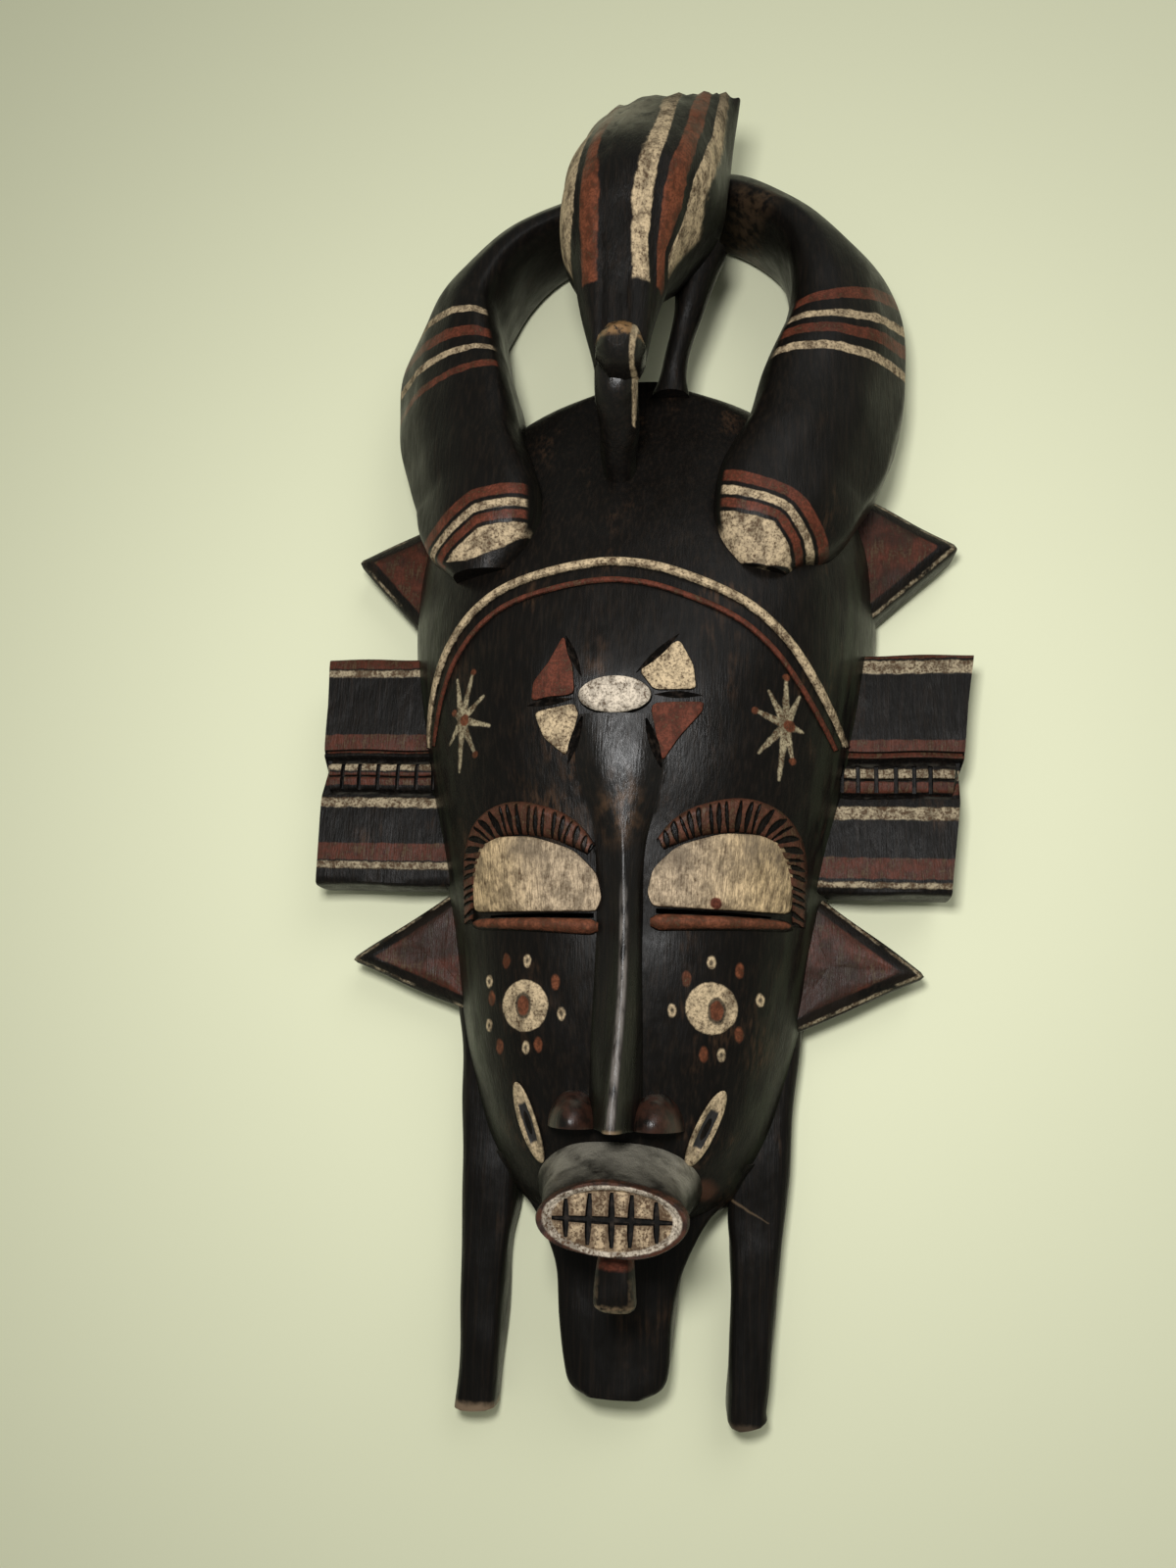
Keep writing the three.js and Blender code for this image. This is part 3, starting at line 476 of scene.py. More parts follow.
def nose():
    """A narrow ridge of eased seven-cornered sections; its root is a wide bell, (1 - |share| ** 3) ** 2."""
    top = through([[NOSE_FOOT_Y, NOSE_TIP_Z], [-118, NOSE_TIP_Z - 0.6], [-100, 62], [-75, 58.5], [-50, 58.5],
                   [-35, 60], [-20, 62.5], [NOSE_TOP_Y, 63.4]])
    half = through([[NOSE_FOOT_Y, 8.4], [-100, 8.2], [-66, 7.6], [-42, 8.8], [-25, 14], [NOSE_TOP_Y, 18]])
    flat = through([[NOSE_FOOT_Y, 1.7], [-60, 1.3], [-40, 1.5], [-25, 4], [NOSE_TOP_Y, 7.5]])
    y = np.linspace(NOSE_FOOT_Y, NOSE_TOP_Y, 96)
    middle, high, wide, level = NOSE_X(y), top(y), half(y), flat(y)
    skin = head_z(wide, y)

    def side(s):
        return [(s * wide, 20 + 0 * y), (s * wide, skin - 0.3),
                (middle + s * (wide * 0.45 + level * 0.4), between(skin, high, 0.5)),
                (middle + s * level, high - 0.4 - 0.14 * level)]

    corners = [*side(-1), (middle, high), *side(1)[::-1]]
    ring = stack(np.array([c[0] for c in corners]).T, np.array([c[1] for c in corners]).T)
    x, z = np.moveaxis(rounded(ring, 5, 2), -1, 0)
    foot = skin[:, None] - 0.3
    share = np.clip((x - middle[:, None]) / (wide[:, None] - np.abs(middle[:, None])), -1, 1)
    bell = between(foot, high[:, None], (1 - np.abs(share) ** 3) ** 2)
    root = np.clip((y[:, None] + 48) / 24, 0, 1)
    return rings(stack(x, y[:, None], np.where(z > foot - 0.2, between(z, bell, root), z)))


def nostrils():
    """A lobe on each side of the nose's foot: half ovals that shrink as sqrt(1 - t squared)."""
    t, s = grid(22, 24)
    size = np.sqrt(1 - t * t * 0.93)
    x = NOSTRIL_X + NOSTRIL_HALF_WIDTH * size * np.cos(np.pi * s)
    y = NOSE_FOOT_Y + NOSTRIL_HEIGHT * t + 0 * s
    z = head_z(x, y) - 3 + (NOSTRIL_RISE + 3) * size * np.sin(np.pi * s)
    lobe = rings(stack(x, y, z))
    return joined([lobe, mirrored(lobe)])


def muzzle():
    """An oval spout: rows of [x, y, half width, half height, z] carried forward, ending in a lip."""
    rows = [[0, MOUTH_Y + 6, 26, 16, 20], [0.6, MOUTH_Y + 5, 23, 14.5, 38],
            [1.5, MOUTH_Y + 2.5, MOUTH_HALF_WIDTH * 0.99, MOUTH_HALF_HEIGHT + 2.2, 50],
            [2.2, MOUTH_Y + 0.8, MOUTH_HALF_WIDTH * 0.96, MOUTH_HALF_HEIGHT + 0.1, MOUTH_Z - 6],
            [MOUTH_X, MOUTH_Y, MOUTH_HALF_WIDTH, MOUTH_HALF_HEIGHT, MOUTH_Z - 3],
            [MOUTH_X, MOUTH_Y, MOUTH_HALF_WIDTH * 0.97, MOUTH_HALF_HEIGHT * 0.95, MOUTH_Z]]
    x, y, half_x, half_y, z = stations(rows, 30).T[:, :, None]
    across, up = around(80)
    spout = stack(x + half_x * across, y + half_y * up, z)
    lip = np.array([[0.95, 0.92, 0.15], [0.91, 0.86, 0.1], [0.88, 0.8, -0.3], [0.84, 0.74, -1.2],
                    [0.6, 0.5, -1.0], [0.3, 0.25, -0.8]])
    wide, tall, drop = lip.T[:, :, None]
    mouth = stack(MOUTH_X + MOUTH_HALF_WIDTH * wide * across, MOUTH_Y + MOUTH_HALF_HEIGHT * tall * up,
                  MOUTH_Z + drop)
    return rings(np.concatenate([uneven(spout, 0.35, 9), mouth]))


def tooth_cuts():
    """Upright gaps between the teeth, a little out of true, and the long gap between the two rows."""
    foot, top = MOUTH_Z - 1.0 - TOOTH_DEPTH, MOUTH_Z + 3
    reach_x, reach_y = MOUTH_HALF_WIDTH * 0.84, MOUTH_HALF_HEIGHT * 0.74
    upright = []
    for k, x in enumerate(TOOTH_GAP_PLACES):
        tall = reach_y * math.sqrt(1 - ((x - MOUTH_X) / reach_x) ** 2) * 0.96
        low, high = [x + 0.3 * (-1) ** k, MOUTH_Y - tall], [x, MOUTH_Y + tall]
        upright.append(v_groove(low, high, TOOTH_GAP, foot, top))
    long = v_groove([MOUTH_X - reach_x * 0.93, MOUTH_Y - 0.2], [MOUTH_X + reach_x * 0.93, MOUTH_Y + 0.1],
                    TOOTH_GAP * 1.1, foot, top)
    return joined(upright), long


def v_groove(start, end, width, foot, top):
    """A groove with leaning walls between two places: wide at the top, a third as wide at its foot."""
    t, _ = grid(8, 1)
    swell = np.maximum(np.sin(np.pi * between(0.05, 0.95, t)) ** 0.35, 0.3)
    x, y = beside_line(start, end, t, np.array([[-1, 1, 0.35, -0.35]]) * width * 0.75 * swell)
    return rings(stack(x, y, np.array([[top, top, foot, foot]])))


def tongue():
    """A short flat bar under the mouth, wider downwards, with its edges and its end cut to a slope."""
    rows = [[MOUTH_Y - 4, 0.84, 0], [-152, 0.86, 0], [-158, 0.94, 0], [TONGUE_FOOT_Y + 4, 1.06, -0.5],
            [TONGUE_FOOT_Y + 1.2, 1.06, -1.6], [TONGUE_FOOT_Y, 0.84, -3.2]]
    y, size, drop = stations(rows, 26).T
    side = np.array([[-1, -0.7, 0.7, 1, 1, -1]]) * TONGUE_HALF_WIDTH * size[:, None]
    z = TONGUE_FRONT_Z + drop[:, None] - np.array([[1.8, 0, 0, 1.8, TONGUE_THICKNESS, TONGUE_THICKNESS]])
    ring = rounded(stack(side, z), 4, 1)
    return rings(uneven(stack(MOUTH_X + ring[..., 0], y[:, None], ring[..., 1]), 0.3, 6))


def scars():
    """A raised leaf on each cheek with a scooped middle: width from a sine, length from a cosine."""
    end, side = around(36)
    leaves = []
    for x0, y0, x1, y1 in SCARS:
        length = math.hypot(x1 - x0, y1 - y0)
        dx, dy = (x1 - x0) / length, (y1 - y0) / length
        gone = length * (1 - end) / 2
        aside = SCAR_WIDTH / 2 * side
        outline = stack(x0 + dx * gone - dy * aside, y0 + dy * gone + dx * aside)
        leaves.append(pad_on_face(outline, [[1.0, 0.5], [0.93, SCAR_RISE], [0.66, SCAR_RISE], [0.48, 0.1],
                                            [0.3, 0]]))
    return joined(leaves)


def ear(top_x, foot_x):
    """One profile of lands, grooves and a sunk rib, carried out from the head to a rim that leans."""
    upper, lower, z = RIB_Y + RIB_HALF, RIB_Y - RIB_HALF, EAR_FRONT_Z
    deep = GROOVE_DEPTH + RIB_SINK
    profile = np.array([
        [EAR_TOP_Y, EAR_BACK_Z], [EAR_TOP_Y, z - 1.2], [EAR_TOP_Y - 1.2, z],
        [upper + GROOVE_WIDTH + 2.6, z], [upper + GROOVE_WIDTH + 2, z - GROOVE_DEPTH], [upper + 2, z - 0.5],
        [upper + 0.8, z - deep], [upper - 1, z - RIB_SINK * 0.4], [RIB_Y + 0.5, z - RIB_SINK * 0.1],
        [RIB_Y, z - RIB_SINK * 0.9], [RIB_Y - 0.5, z - RIB_SINK * 0.1], [lower + 1, z - RIB_SINK * 0.5],
        [lower, z - deep], [lower - 1.6, z - 0.4], [EAR_FOOT_Y + 1.8, z], [EAR_FOOT_Y + 0.3, z - 1.5],
        [EAR_FOOT_Y, EAR_BACK_Z]])
    ring = rounded(profile[None], 4, 1)[0]
    t, _ = grid(26, 1)
    y, z = ring[None, :, 0], ring[None, :, 1]
    rim = between(foot_x, top_x, (y - EAR_FOOT_Y) / (EAR_TOP_Y - EAR_FOOT_Y))
    rim = rim - RIB_NOTCH * ((y < upper + 1) & (y > lower - 0.5))
    points = uneven(stack(between(EAR_ROOT_X, rim, t), y, z), 0.28, 11)
    return rings(points)


def ear_cuts(foot_x):
    """The gaps between the rib's little squares, each a narrow slot a bit out of true."""
    gap = (foot_x - RIB_START_X) / RIB_SQUARES
    slots = []
    for k in range(RIB_SQUARES):
        x = RIB_START_X + gap * k + 0.5 * math.sin(5.0 * k)
        slots.append(block([x - 0.7, RIB_Y - RIB_HALF + 0.8, EAR_FRONT_Z - RIB_SINK * 1.7],
                           [x + 0.7, RIB_Y + RIB_HALF - 0.6, EAR_FRONT_Z + 2]))
    return joined(slots)


def side_point(outline):
    """A triangle whose rings step in from its outline as they rise: upright wall, bevel, level middle."""
    corners = rounded(np.array(outline, float)[None], 20, 1)
    middle = np.array(outline, float).mean(0)
    steps_in = np.array([[0, POINT_BACK_Z], [0, 9], [0, POINT_FRONT_Z - 5], [0.2, POINT_FRONT_Z - 3.2],
                         [1.0, POINT_FRONT_Z - 2], [2.4, POINT_FRONT_Z - 0.8], [POINT_BEVEL, POINT_FRONT_Z],
                         [5.4, POINT_FRONT_Z - 0.1], [8, POINT_FRONT_Z - 0.2], [12, POINT_FRONT_Z - 0.2]])
    inset, z = steps_in[:, 0, None], steps_in[:, 1, None]
    away = np.linalg.norm(corners - middle, axis=-1)
    share = np.maximum(1 - inset * 1.7 / np.maximum(away, 16), 0.05)
    x = between(middle[0], corners[..., 0], share)
    y = between(middle[1], corners[..., 1], share)
    return rings(uneven(stack(x, y, z), 0.25, 10))


def bar_down(rows, back, front, count):
    """A flat-backed bar down the face: rows of [y, middle x, half width, slant], a rounded front."""
    y, x, half, slant = stations([row if len(row) == 4 else [*row, 0] for row in rows], count).T[:, :, None]
    corners = np.array([[-1, back], [-1, front - 3], [-0.75, front - 0.8], [0, front], [0.75, front - 0.8],
                        [1, front - 3], [1, back]])
    side, z = corners[None, :, 0], corners[None, :, 1]
    ring = rounded(stack(x + side * half, y + side * slant, z), 4, 1)
    return rings(uneven(ring, 0.4, 13))


def horn(path, side, bulk):
    """A D-shaped section of ten corners, eased, carried round the ring: high along its inner ridge."""
    t = np.linspace(0, 1, 140)
    places, normals, _ = along_curve(path, t)
    half, high, out = HORN_HALF_WIDTH(t) * bulk(t), HORN_RIDGE_Z(t), HORN_OUTER_Z(t)
    back = np.maximum(HORN_UNDER_Z(t), HORN_BACK_Z)
    across = np.array([1, 1, 0.9, 0.45, -0.15, -0.62, -0.86, -1, -1, -0.7])
    z = np.stack([back, out - 3, out, between(out, high, 0.5) + 2, between(out, high, 0.88) + 1.6, high,
                  high - 2.5, high - 9, back + 13, back], -1)
    ring = rounded(stack(across[None] * half[:, None] * side, z), 5, 2)
    x = places[:, :1] + normals[:, :1] * ring[..., 0]
    y = places[:, 1:] + normals[:, 1:] * ring[..., 0]
    return rings(uneven(stack(x, y, ring[..., 1]), 0.5, 15))


def feather_place(x, y):
    """Where a point of the bird's back lies among the stripe edges: 0 at the first, 1 at the next, and on."""
    edges = np.array([np.interp(y, FEATHER_ROWS, row) for row in FEATHER_EDGES])
    return sum(np.clip((x - low) / (high - low), 0, 1) for low, high in zip(edges[:-1], edges[1:]))


def bird_body():
    """Rounded sections up the bird, its stripes parted by shallow grooves and its tail edge scalloped."""
    t, _ = grid(106, 1)
    turn = np.linspace(0, 1, 120, endpoint=False)
    turn = 2 * np.pi * (turn - 0.045 * np.sin(4 * np.pi * turn))[None]
    across, out = np.cos(turn), np.sin(turn)
    y = between(BIRD_NECK_Y, BIRD_TAIL_Y, t)
    x = BIRD_X(y) + BIRD_HALF(y) * np.sign(across) * np.abs(across) ** 0.75
    front, back = BIRD_FRONT(y), BIRD_BACK(y)
    z = (front + back) / 2 + (front - back) / 2 * np.sign(out) * np.abs(out) ** 0.85
    place = feather_place(x, y)
    facing = np.clip(out * 3, 0, 1)
    for centre, reach, depth in FEATHER_GROOVES:
        z = z - facing * depth * np.exp(-((place - centre) / reach) ** 2)
    tail = np.clip((y - TAIL_START_Y) / (BIRD_TAIL_Y - TAIL_START_Y), 0, 1)
    scallops = 1.3 * tail ** 4 * (0.5 + 0.5 * np.cos(2 * np.pi * place))
    lower = TAIL_DROP * np.clip(-across, 0, 1) ** 2 * tail + scallops
    return rings(uneven(stack(x, y - lower, z), 0.35, 12))


def beak():
    """A ten-sided section carried down a bent spine of [y, z, x, half, deep], from the neck to the crown."""
    spine = stations([[104, 74, -2.3, 7.4, 7], [95, 74, -2.9, 6.9, 7], [90, 69, -3, 6.7, 6.6],
                      [85, 61.5, -3.2, 6.4, 6.4], [80.5, 54, -3.8, 5.8, 6.2], [76.5, 47, -4, 5.2, 6]], 40)
    y, z, x, half, deep = spine.T[:, :, None]
    turn_y, turn_z = np.gradient(y[:, 0])[:, None], np.gradient(z[:, 0])[:, None]
    run = np.hypot(turn_y, turn_z)
    across, out = (wave[None] for wave in around(10))
    ring = stack(x + half * across, y + turn_z / run * out * deep, z - turn_y / run * out * deep)
    return rings(uneven(rounded(ring, 3, 1), 0.3, 7))


def head_knob():
    """The bird's head: nine-sided rings that close in upwards, their facets left crisp."""
    z, radius = np.array([[74, 6.4], [84, 7.7], [88.5, 6.5], [91.3, 3.2]]).T[:, :, None]
    across, up = around(9)
    return rings(uneven(stack(BIRD_HEAD_X + radius * across, BIRD_HEAD_Y + radius * up, z), 0.3, 7))


def bird_leg(rows):
    """A thin leg from the belly to the crown: rows of [y, z, x, half], round sections."""
    y, z, x, half = stations(rows, 26).T[:, :, None]
    across, out = around(16)
    return rings(uneven(stack(x + half * across, y, z + (half + 1) * out), 0.35, 8))


def slits():
    """The narrow openings between each lid and its bar, cut right through to the hollow."""
    t, _ = grid(8, 1)
    half = SLIT_HEIGHT * between(0.5, 0.2, t ** 2)

    def one(shift):
        x = between(SLIT_NEAR_X, SLIT_FAR_X, t) + shift[0]
        y = SLIT_Y + shift[1] + half * np.array([[-1, 1, 1, -1]])
        return rings(stack(x, y, head_z(x, y) + np.array([[-26, -26, 8, 8]])))

    return both_eyes(one)


class Finish:
    """One material: short calls that add nodes and join them. Places are in the carver's millimetres."""

    def __init__(self, name):
        """A new material, with the place in millimetres and the way the surface faces at hand."""
        self.material = bpy.data.materials.new(name)
        self.material.use_nodes = True
        self.tree = self.material.node_tree
        self.shader = self.tree.nodes["Principled BSDF"]
        spot = self.add("TexCoord").outputs["Object"]
        millimetres = {"Vector": spot, "Location": MIDDLE, "Scale": (1000,) * 3}
        self.place = self.add("Mapping", millimetres).outputs[0]
        self.x, self.y, self.z = self.add("SeparateXYZ", {0: self.place}).outputs
        facing = self.add("NewGeometry").outputs["Normal"]
        self.facing = self.add("SeparateXYZ", {0: facing}).outputs

    def add(self, kind, values=None, **settings):
        """A new node with its settings, each named or numbered input given its value."""
        node = self.tree.nodes.new("ShaderNode" + kind)
        for key, setting in settings.items():
            setattr(node, key, setting)
        for key, value in (values or {}).items():
            self.put(node.inputs[key], value)
        return node

    def put(self, socket, value):
        """Gives an input a value of its own, or links it to another node's output."""
        if isinstance(value, bpy.types.NodeSocket):
            self.tree.links.new(value, socket)
        elif socket.type == "RGBA":
            socket.default_value = (*value, 1.0)
        else:
            socket.default_value = value

    def maths(self, operation, a, b=0.0, c=0.0):
        """The output of a sum of up to three numbers."""
        return self.add("Math", {0: a, 1: b, 2: c}, operation=operation).outputs[0]

    def vector(self, operation, *inputs):
        """The outputs of a vector sum."""
        return self.add("VectorMath", dict(enumerate(inputs)), operation=operation).outputs

    def times(self, *values):
        """Product of all the values."""
        product = values[0]
        for value in values[1:]:
            product = self.maths("MULTIPLY", product, value)
        return product

    def largest(self, *values):
        """Greatest of the values."""
        result = values[0]
        for value in values[1:]:
            result = self.maths("MAXIMUM", result, value)
        return result

    def ease(self, value, low, high, start=0.0, end=1.0):
        """Smooth step of a value from low to high; low may be the greater."""
        spans = {"Value": value, "From Min": low, "From Max": high, "To Min": start, "To Max": end}
        return self.add("MapRange", spans, interpolation_type="SMOOTHSTEP").outputs[0]

    def noise(self, size, stretch=(1, 1, 1), detail=4.0, rough=0.55, shift=0.0):
        """Clouds from 0 to 1 whose grains are about size millimetres, drawn out along an axis by stretch."""
        scale = tuple(1 / (size * k) for k in stretch)
        placed = {"Vector": self.place, "Scale": scale, "Location": (shift,) * 3}
        spot = self.add("Mapping", placed).outputs[0]
        grains = {"Vector": spot, "Scale": 1.0, "Detail": detail, "Roughness": rough}
        return self.add("TexNoise", grains).outputs[0]

    def clouds(self, low, high, size, *args, **settings):
        """Noise eased from low to high."""
        return self.ease(self.noise(size, *args, **settings), low, high)

    def mix(self, share, first, second):
        """Colour between two: first + (second - first) share."""
        node = self.add("Mix", {0: share}, data_type="RGBA")
        self.put(node.inputs[6], first)
        self.put(node.inputs[7], second)
        return node.outputs[2]

    def measure(self, name):
        """A value that the mesh's vertices carry under the name."""
        return self.add("Attribute", attribute_name=name).outputs["Fac"]

    def ragged(self, value, reach=0.5, size=2.2):
        """A measure with an uneven edge: noise moves it by up to reach either way."""
        return self.maths("ADD", value, self.maths("MULTIPLY_ADD", self.noise(size), 2 * reach, -reach))

    def bands(self, value, spans, soft=0.25):
        """1 where the value is inside any of the [low, high] spans."""
        return self.largest(*[self.times(self.ease(value, low - soft, low + soft),
                                         self.ease(value, high + soft, high - soft)) for low, high in spans])

    def oval(self, spot, middle, wide, tall):
        """Distance from a place of the face, as a share of an upright oval's half width and half height."""
        away = self.vector("SUBTRACT", spot, (*middle, 0))[0]
        return self.vector("LENGTH", self.vector("MULTIPLY", away, (1 / wide, 1 / tall, 0))[0])["Value"]

    def disc(self, spot, middle, radius, tall=1.0, soft=0.3):
        """1 inside an upright oval round a place of the face."""
        return self.ease(self.oval(spot, middle, 1, tall), radius + soft, radius - soft)

    def dash(self, spot, start, end, width):
        """1 near the straight line between two places, thinner towards its end."""
        start, end = np.array(start, float), np.array(end, float)
        run = end - start
        away = self.vector("SUBTRACT", spot, (*start, 0))[0]
        along = self.vector("DOT_PRODUCT", away, (*(run / (run @ run)), 0))["Value"]
        held = self.add("Clamp", {0: along}).outputs[0]
        foot = self.add("VectorMath", {0: (*run, 0), "Scale": held}, operation="SCALE").outputs[0]
        off = self.vector("DISTANCE", away, foot)["Value"]
        reach = self.maths("MULTIPLY_ADD", held, -0.35 * width, width / 2)
        return self.ease(self.maths("SUBTRACT", off, reach), 0.3, -0.3)

    def flat_spot(self, reach=0.35):
        """The place seen straight down Z, pushed about so that painted shapes have a brush's edge."""
        push = self.add("TexNoise", {"Vector": self.place, "Scale": 0.45, "Detail": 2.0}).outputs["Color"]
        moved = self.vector("MULTIPLY_ADD", push, (2 * reach,) * 3, self.place)[0]
        return self.vector("MULTIPLY", self.vector("SUBTRACT", moved, (reach,) * 3)[0], (1, 1, 0))[0]

    def stain(self, worn=0.5, reflection_share=0.5, grain=(1, 14, 1)):
        """Near-black stain: brown along the grain and in rubbed clouds, a painted greenish reflection on
        steep sides, dust.
        """
        fibre = self.noise(1.1, grain, 4.0, 0.55)
        cloud = self.noise(17.0, (1, 1.6, 1), 5.0, 0.6, 3.0)
        colour = self.mix(self.times(self.ease(fibre, 0.42, 0.75), 0.8), BLACK_STAIN, DARK_STAIN)
        clouds = self.ease(cloud, 0.68 - 0.2 * worn, 0.88 - 0.2 * worn)
        rubbed = self.times(clouds, self.ease(fibre, 0.36, 0.66), 0.6)
        colour = self.mix(rubbed, colour, RUBBED_WOOD)
        # Painted reflection: faces that turn sideways get a greenish sheen in streaky clouds, standing in for
        # light caught at a grazing angle; the second argument sets how much.
        steep = self.ease(self.maths("ABSOLUTE", self.facing[0]), 0.6, 0.95)
        side_reflection_mask = self.times(steep, self.clouds(0.35, 0.65, 5.0, (1, 6, 1), 3.0, 0.5, 7.0), reflection_share)
        colour = self.mix(side_reflection_mask, colour, SIDE_WALL_REFLECTION)
        ledge = self.times(self.ease(self.facing[1], 0.5, 0.95), self.clouds(0.4, 0.65, 5.0, shift=5.0), 0.4)
        return self.mix(ledge, colour, DUST)

    def paint(self, under, mask, colour, wear=0.42, streaky=0.0, shift=0.0):
        """Old paint over the wood: worn off in pores, streaks and patches, its tone clouded with dirt."""
        pores = self.noise(0.8, (1, 1, 1), 5.0, 0.7, shift)
        lines = self.noise(0.8, (1, 10, 1), 4.0, 0.6, shift + 2)
        patches = self.noise(3.8, (1, 1.4, 1), 5.0, 0.65, shift + 4)
        grain = self.maths("MULTIPLY_ADD", self.maths("SUBTRACT", lines, pores), streaky, pores)
        left = self.maths("MULTIPLY_ADD", patches, 0.35, self.times(grain, 0.65))
        hold = self.ease(left, wear - 0.05, wear + 0.05)
        dim, dark = (tuple(share * part for part in colour) for share in (0.4, 0.3))
        tone = self.mix(self.ease(patches, 0.38, 0.6), dim, colour)
        tone = self.mix(self.times(self.ease(grain, 0.56, 0.42), 0.6), tone, dark)
        bare = self.mix(0.7, under, BARE_WOOD)
        return self.mix(mask, under, self.mix(hold, bare, tone))

    def close(self, colour, gloss=0.36, bump=0.3, grain=(1, 12, 1), chalk=None, shine=0.12):
        """Ends the material: satin bare stain, chalky paint, with grain and knife marks in the bump."""
        fibre = self.noise(0.55, grain, 4.0, 0.6, 9.0)
        knife = self.noise(6.0, (1, 1.8, 1), 2.0, 0.5, 11.0)
        height = self.maths("MULTIPLY_ADD", knife, 2.2, fibre)
        rough = self.ease(self.noise(5.0, (1, 2, 1), 4.0, 0.6, 13.0), 0.3, 0.7, gloss - 0.05, gloss + 0.1)
        if chalk is not None:
            rough = self.largest(rough, self.times(chalk, 0.75))
            height = self.maths("MULTIPLY_ADD", chalk, 0.5, height)
        normal = self.add("Bump", {"Height": height, "Strength": bump, "Distance": 0.0006}).outputs[0]
        self.put(self.shader.inputs["Base Color"], colour)
        self.put(self.shader.inputs["Roughness"], rough)
        self.put(self.shader.inputs["Normal"], normal)
        self.shader.inputs["Specular IOR Level"].default_value = shine
        return self.material


BLACK_STAIN = (0.0045, 0.0038, 0.0032)
DARK_STAIN = (0.012, 0.0084, 0.006)
RUBBED_WOOD = (0.065, 0.034, 0.018)
BARE_WOOD = (0.1, 0.058, 0.03)
# Painted greenish reflection, laid on steep sides by the stain.
SIDE_WALL_REFLECTION = (0.022, 0.025, 0.015)
DUST = (0.13, 0.12, 0.095)
CREAM = (0.53, 0.405, 0.25)
PALE_CREAM = (0.62, 0.53, 0.42)
TOOTH = (0.47, 0.35, 0.22)
RED = (0.12, 0.034, 0.019)
DULL_RED = (0.085, 0.026, 0.015)
RUST = (0.15, 0.05, 0.024)
LIP = (0.06, 0.024, 0.014)
DARK_LIP = (0.025, 0.014, 0.01)
TAN = (0.2, 0.135, 0.078)
WORN_CREAM, BAND_CREAM = (0.36, 0.3, 0.19), (0.36, 0.29, 0.19)
LID_PALE, LID_YELLOW = (0.55, 0.42, 0.28), (0.62, 0.45, 0.25)
LID_STREAK, LID_GRIME = (0.12, 0.085, 0.05), (0.11, 0.085, 0.06)
BAR_RED, BROW_RED, BIRD_RED = (0.165, 0.056, 0.028), (0.095, 0.037, 0.022), (0.15, 0.046, 0.022)
# The nose ridge's grey is wear with a painted highlight in it.
RIDGE_WEAR_AND_HIGHLIGHT, LEAF_GREY, EAR_GREY = (0.2, 0.175, 0.155), (0.026, 0.025, 0.024), (0.032, 0.029, 0.028)
NOSE_BROWN, NOSTRIL_BROWN, HORN_BROWN = (0.12, 0.063, 0.03), (0.04, 0.017, 0.011), (0.055, 0.034, 0.019)
# The tail's olive is dust with a painted dull highlight in it.
MUZZLE_DUST, TAIL_DUST_AND_SHEEN = (0.27, 0.25, 0.2), (0.22, 0.2, 0.14)
# The middle colour darkens the teeth beside their gaps.
TOOTH_BED, TOOTH_GAP_BROWN, MOUTH_RIM = (0.035, 0.022, 0.014), (0.085, 0.052, 0.03), (0.55, 0.47, 0.37)
HORN_CREAM = (0.47, 0.36, 0.225)
OCHRE, END_WOOD = (0.2, 0.11, 0.045), (0.2, 0.14, 0.09)
HOLLOW_BROWN, CUT_BROWN = (0.04, 0.023, 0.012), (0.028, 0.02, 0.015)
FLOOR_PALE, STUDIO_PALE = (0.74, 0.75, 0.53, 1), (0.97, 1.0, 0.9, 1)

# Marks painted on the forehead and cheeks, as places of the face
STARS = [[[-51, -4], [[-53, 9], [-47, 10], [-43, 2], [-41, -7], [-46, -15], [-52, -19], [-56, -10],
                      [-54, -1]]],
         [[48, -6], [[43, 3], [48, 8], [52, 3], [53, -7], [50, -16], [46, -22], [40, -15], [39, -3]]]]
STAR_ARM = 2.7
CHEEK_DISCS = [[[-27.5, -90], 7.4, [-28, -90]], [[27.2, -89], 7.3, [28.6, -89.6]]]
CREAM_DOTS = [[-27, -77], [-40, -83], [-40, -96], [-27, -102], [-16, -92],
              [27, -76], [16, -90], [41, -86], [30, -102]]
RED_DOTS = [[-34, -77], [-39, -88], [-36, -102], [-23, -101], [-18, -83],
            [20, -81], [35, -78], [35, -96], [25, -102], [-17.6, -120]]
DOT_RADIUS = 1.2
FOREHEAD_RUB, NOSE_RUB, HORN_RUB = [-13, -20], [0.5, -33], [36, 181]
CHIN_SPOT, LID_SPOT = [25.5, -141], [28.2, -59.4]
BEAK_LINE, LEG_SCRATCH = [[4.4, 103], [1.9, 83.5]], [[33, -145], [44, -151]]

# Painted bands, red spans and then cream ones: heights on the ears, millimetres along the horns
SPANS = {
    "right_ear": [[[23, 24.2], [-9.8, -3.8], [-20.9, -17.2], [-47.7, -41.2]],
                  [[17.9, 22.2], [-16.2, -13.2], [-29.2, -25.2], [-50.5, -48.8]]],
    "left_ear": [[[20.7, 24.2], [-8.3, -2.2], [-19.2, -15.0], [-44.4, -38.8]],
                 [[17.8, 20.1], [-14.3, -12.0], [-26.8, -23.6], [-47.2, -45.0]]],
    "right_horn": [[[96.3, 100.9], [111.6, 115.4]], [[105.8, 108.9], [119.0, 122.2]]],
    "left_horn": [[[98.6, 102.8], [116.3, 119.3]], [[89.6, 92.6], [107.4, 110.2]]],
}


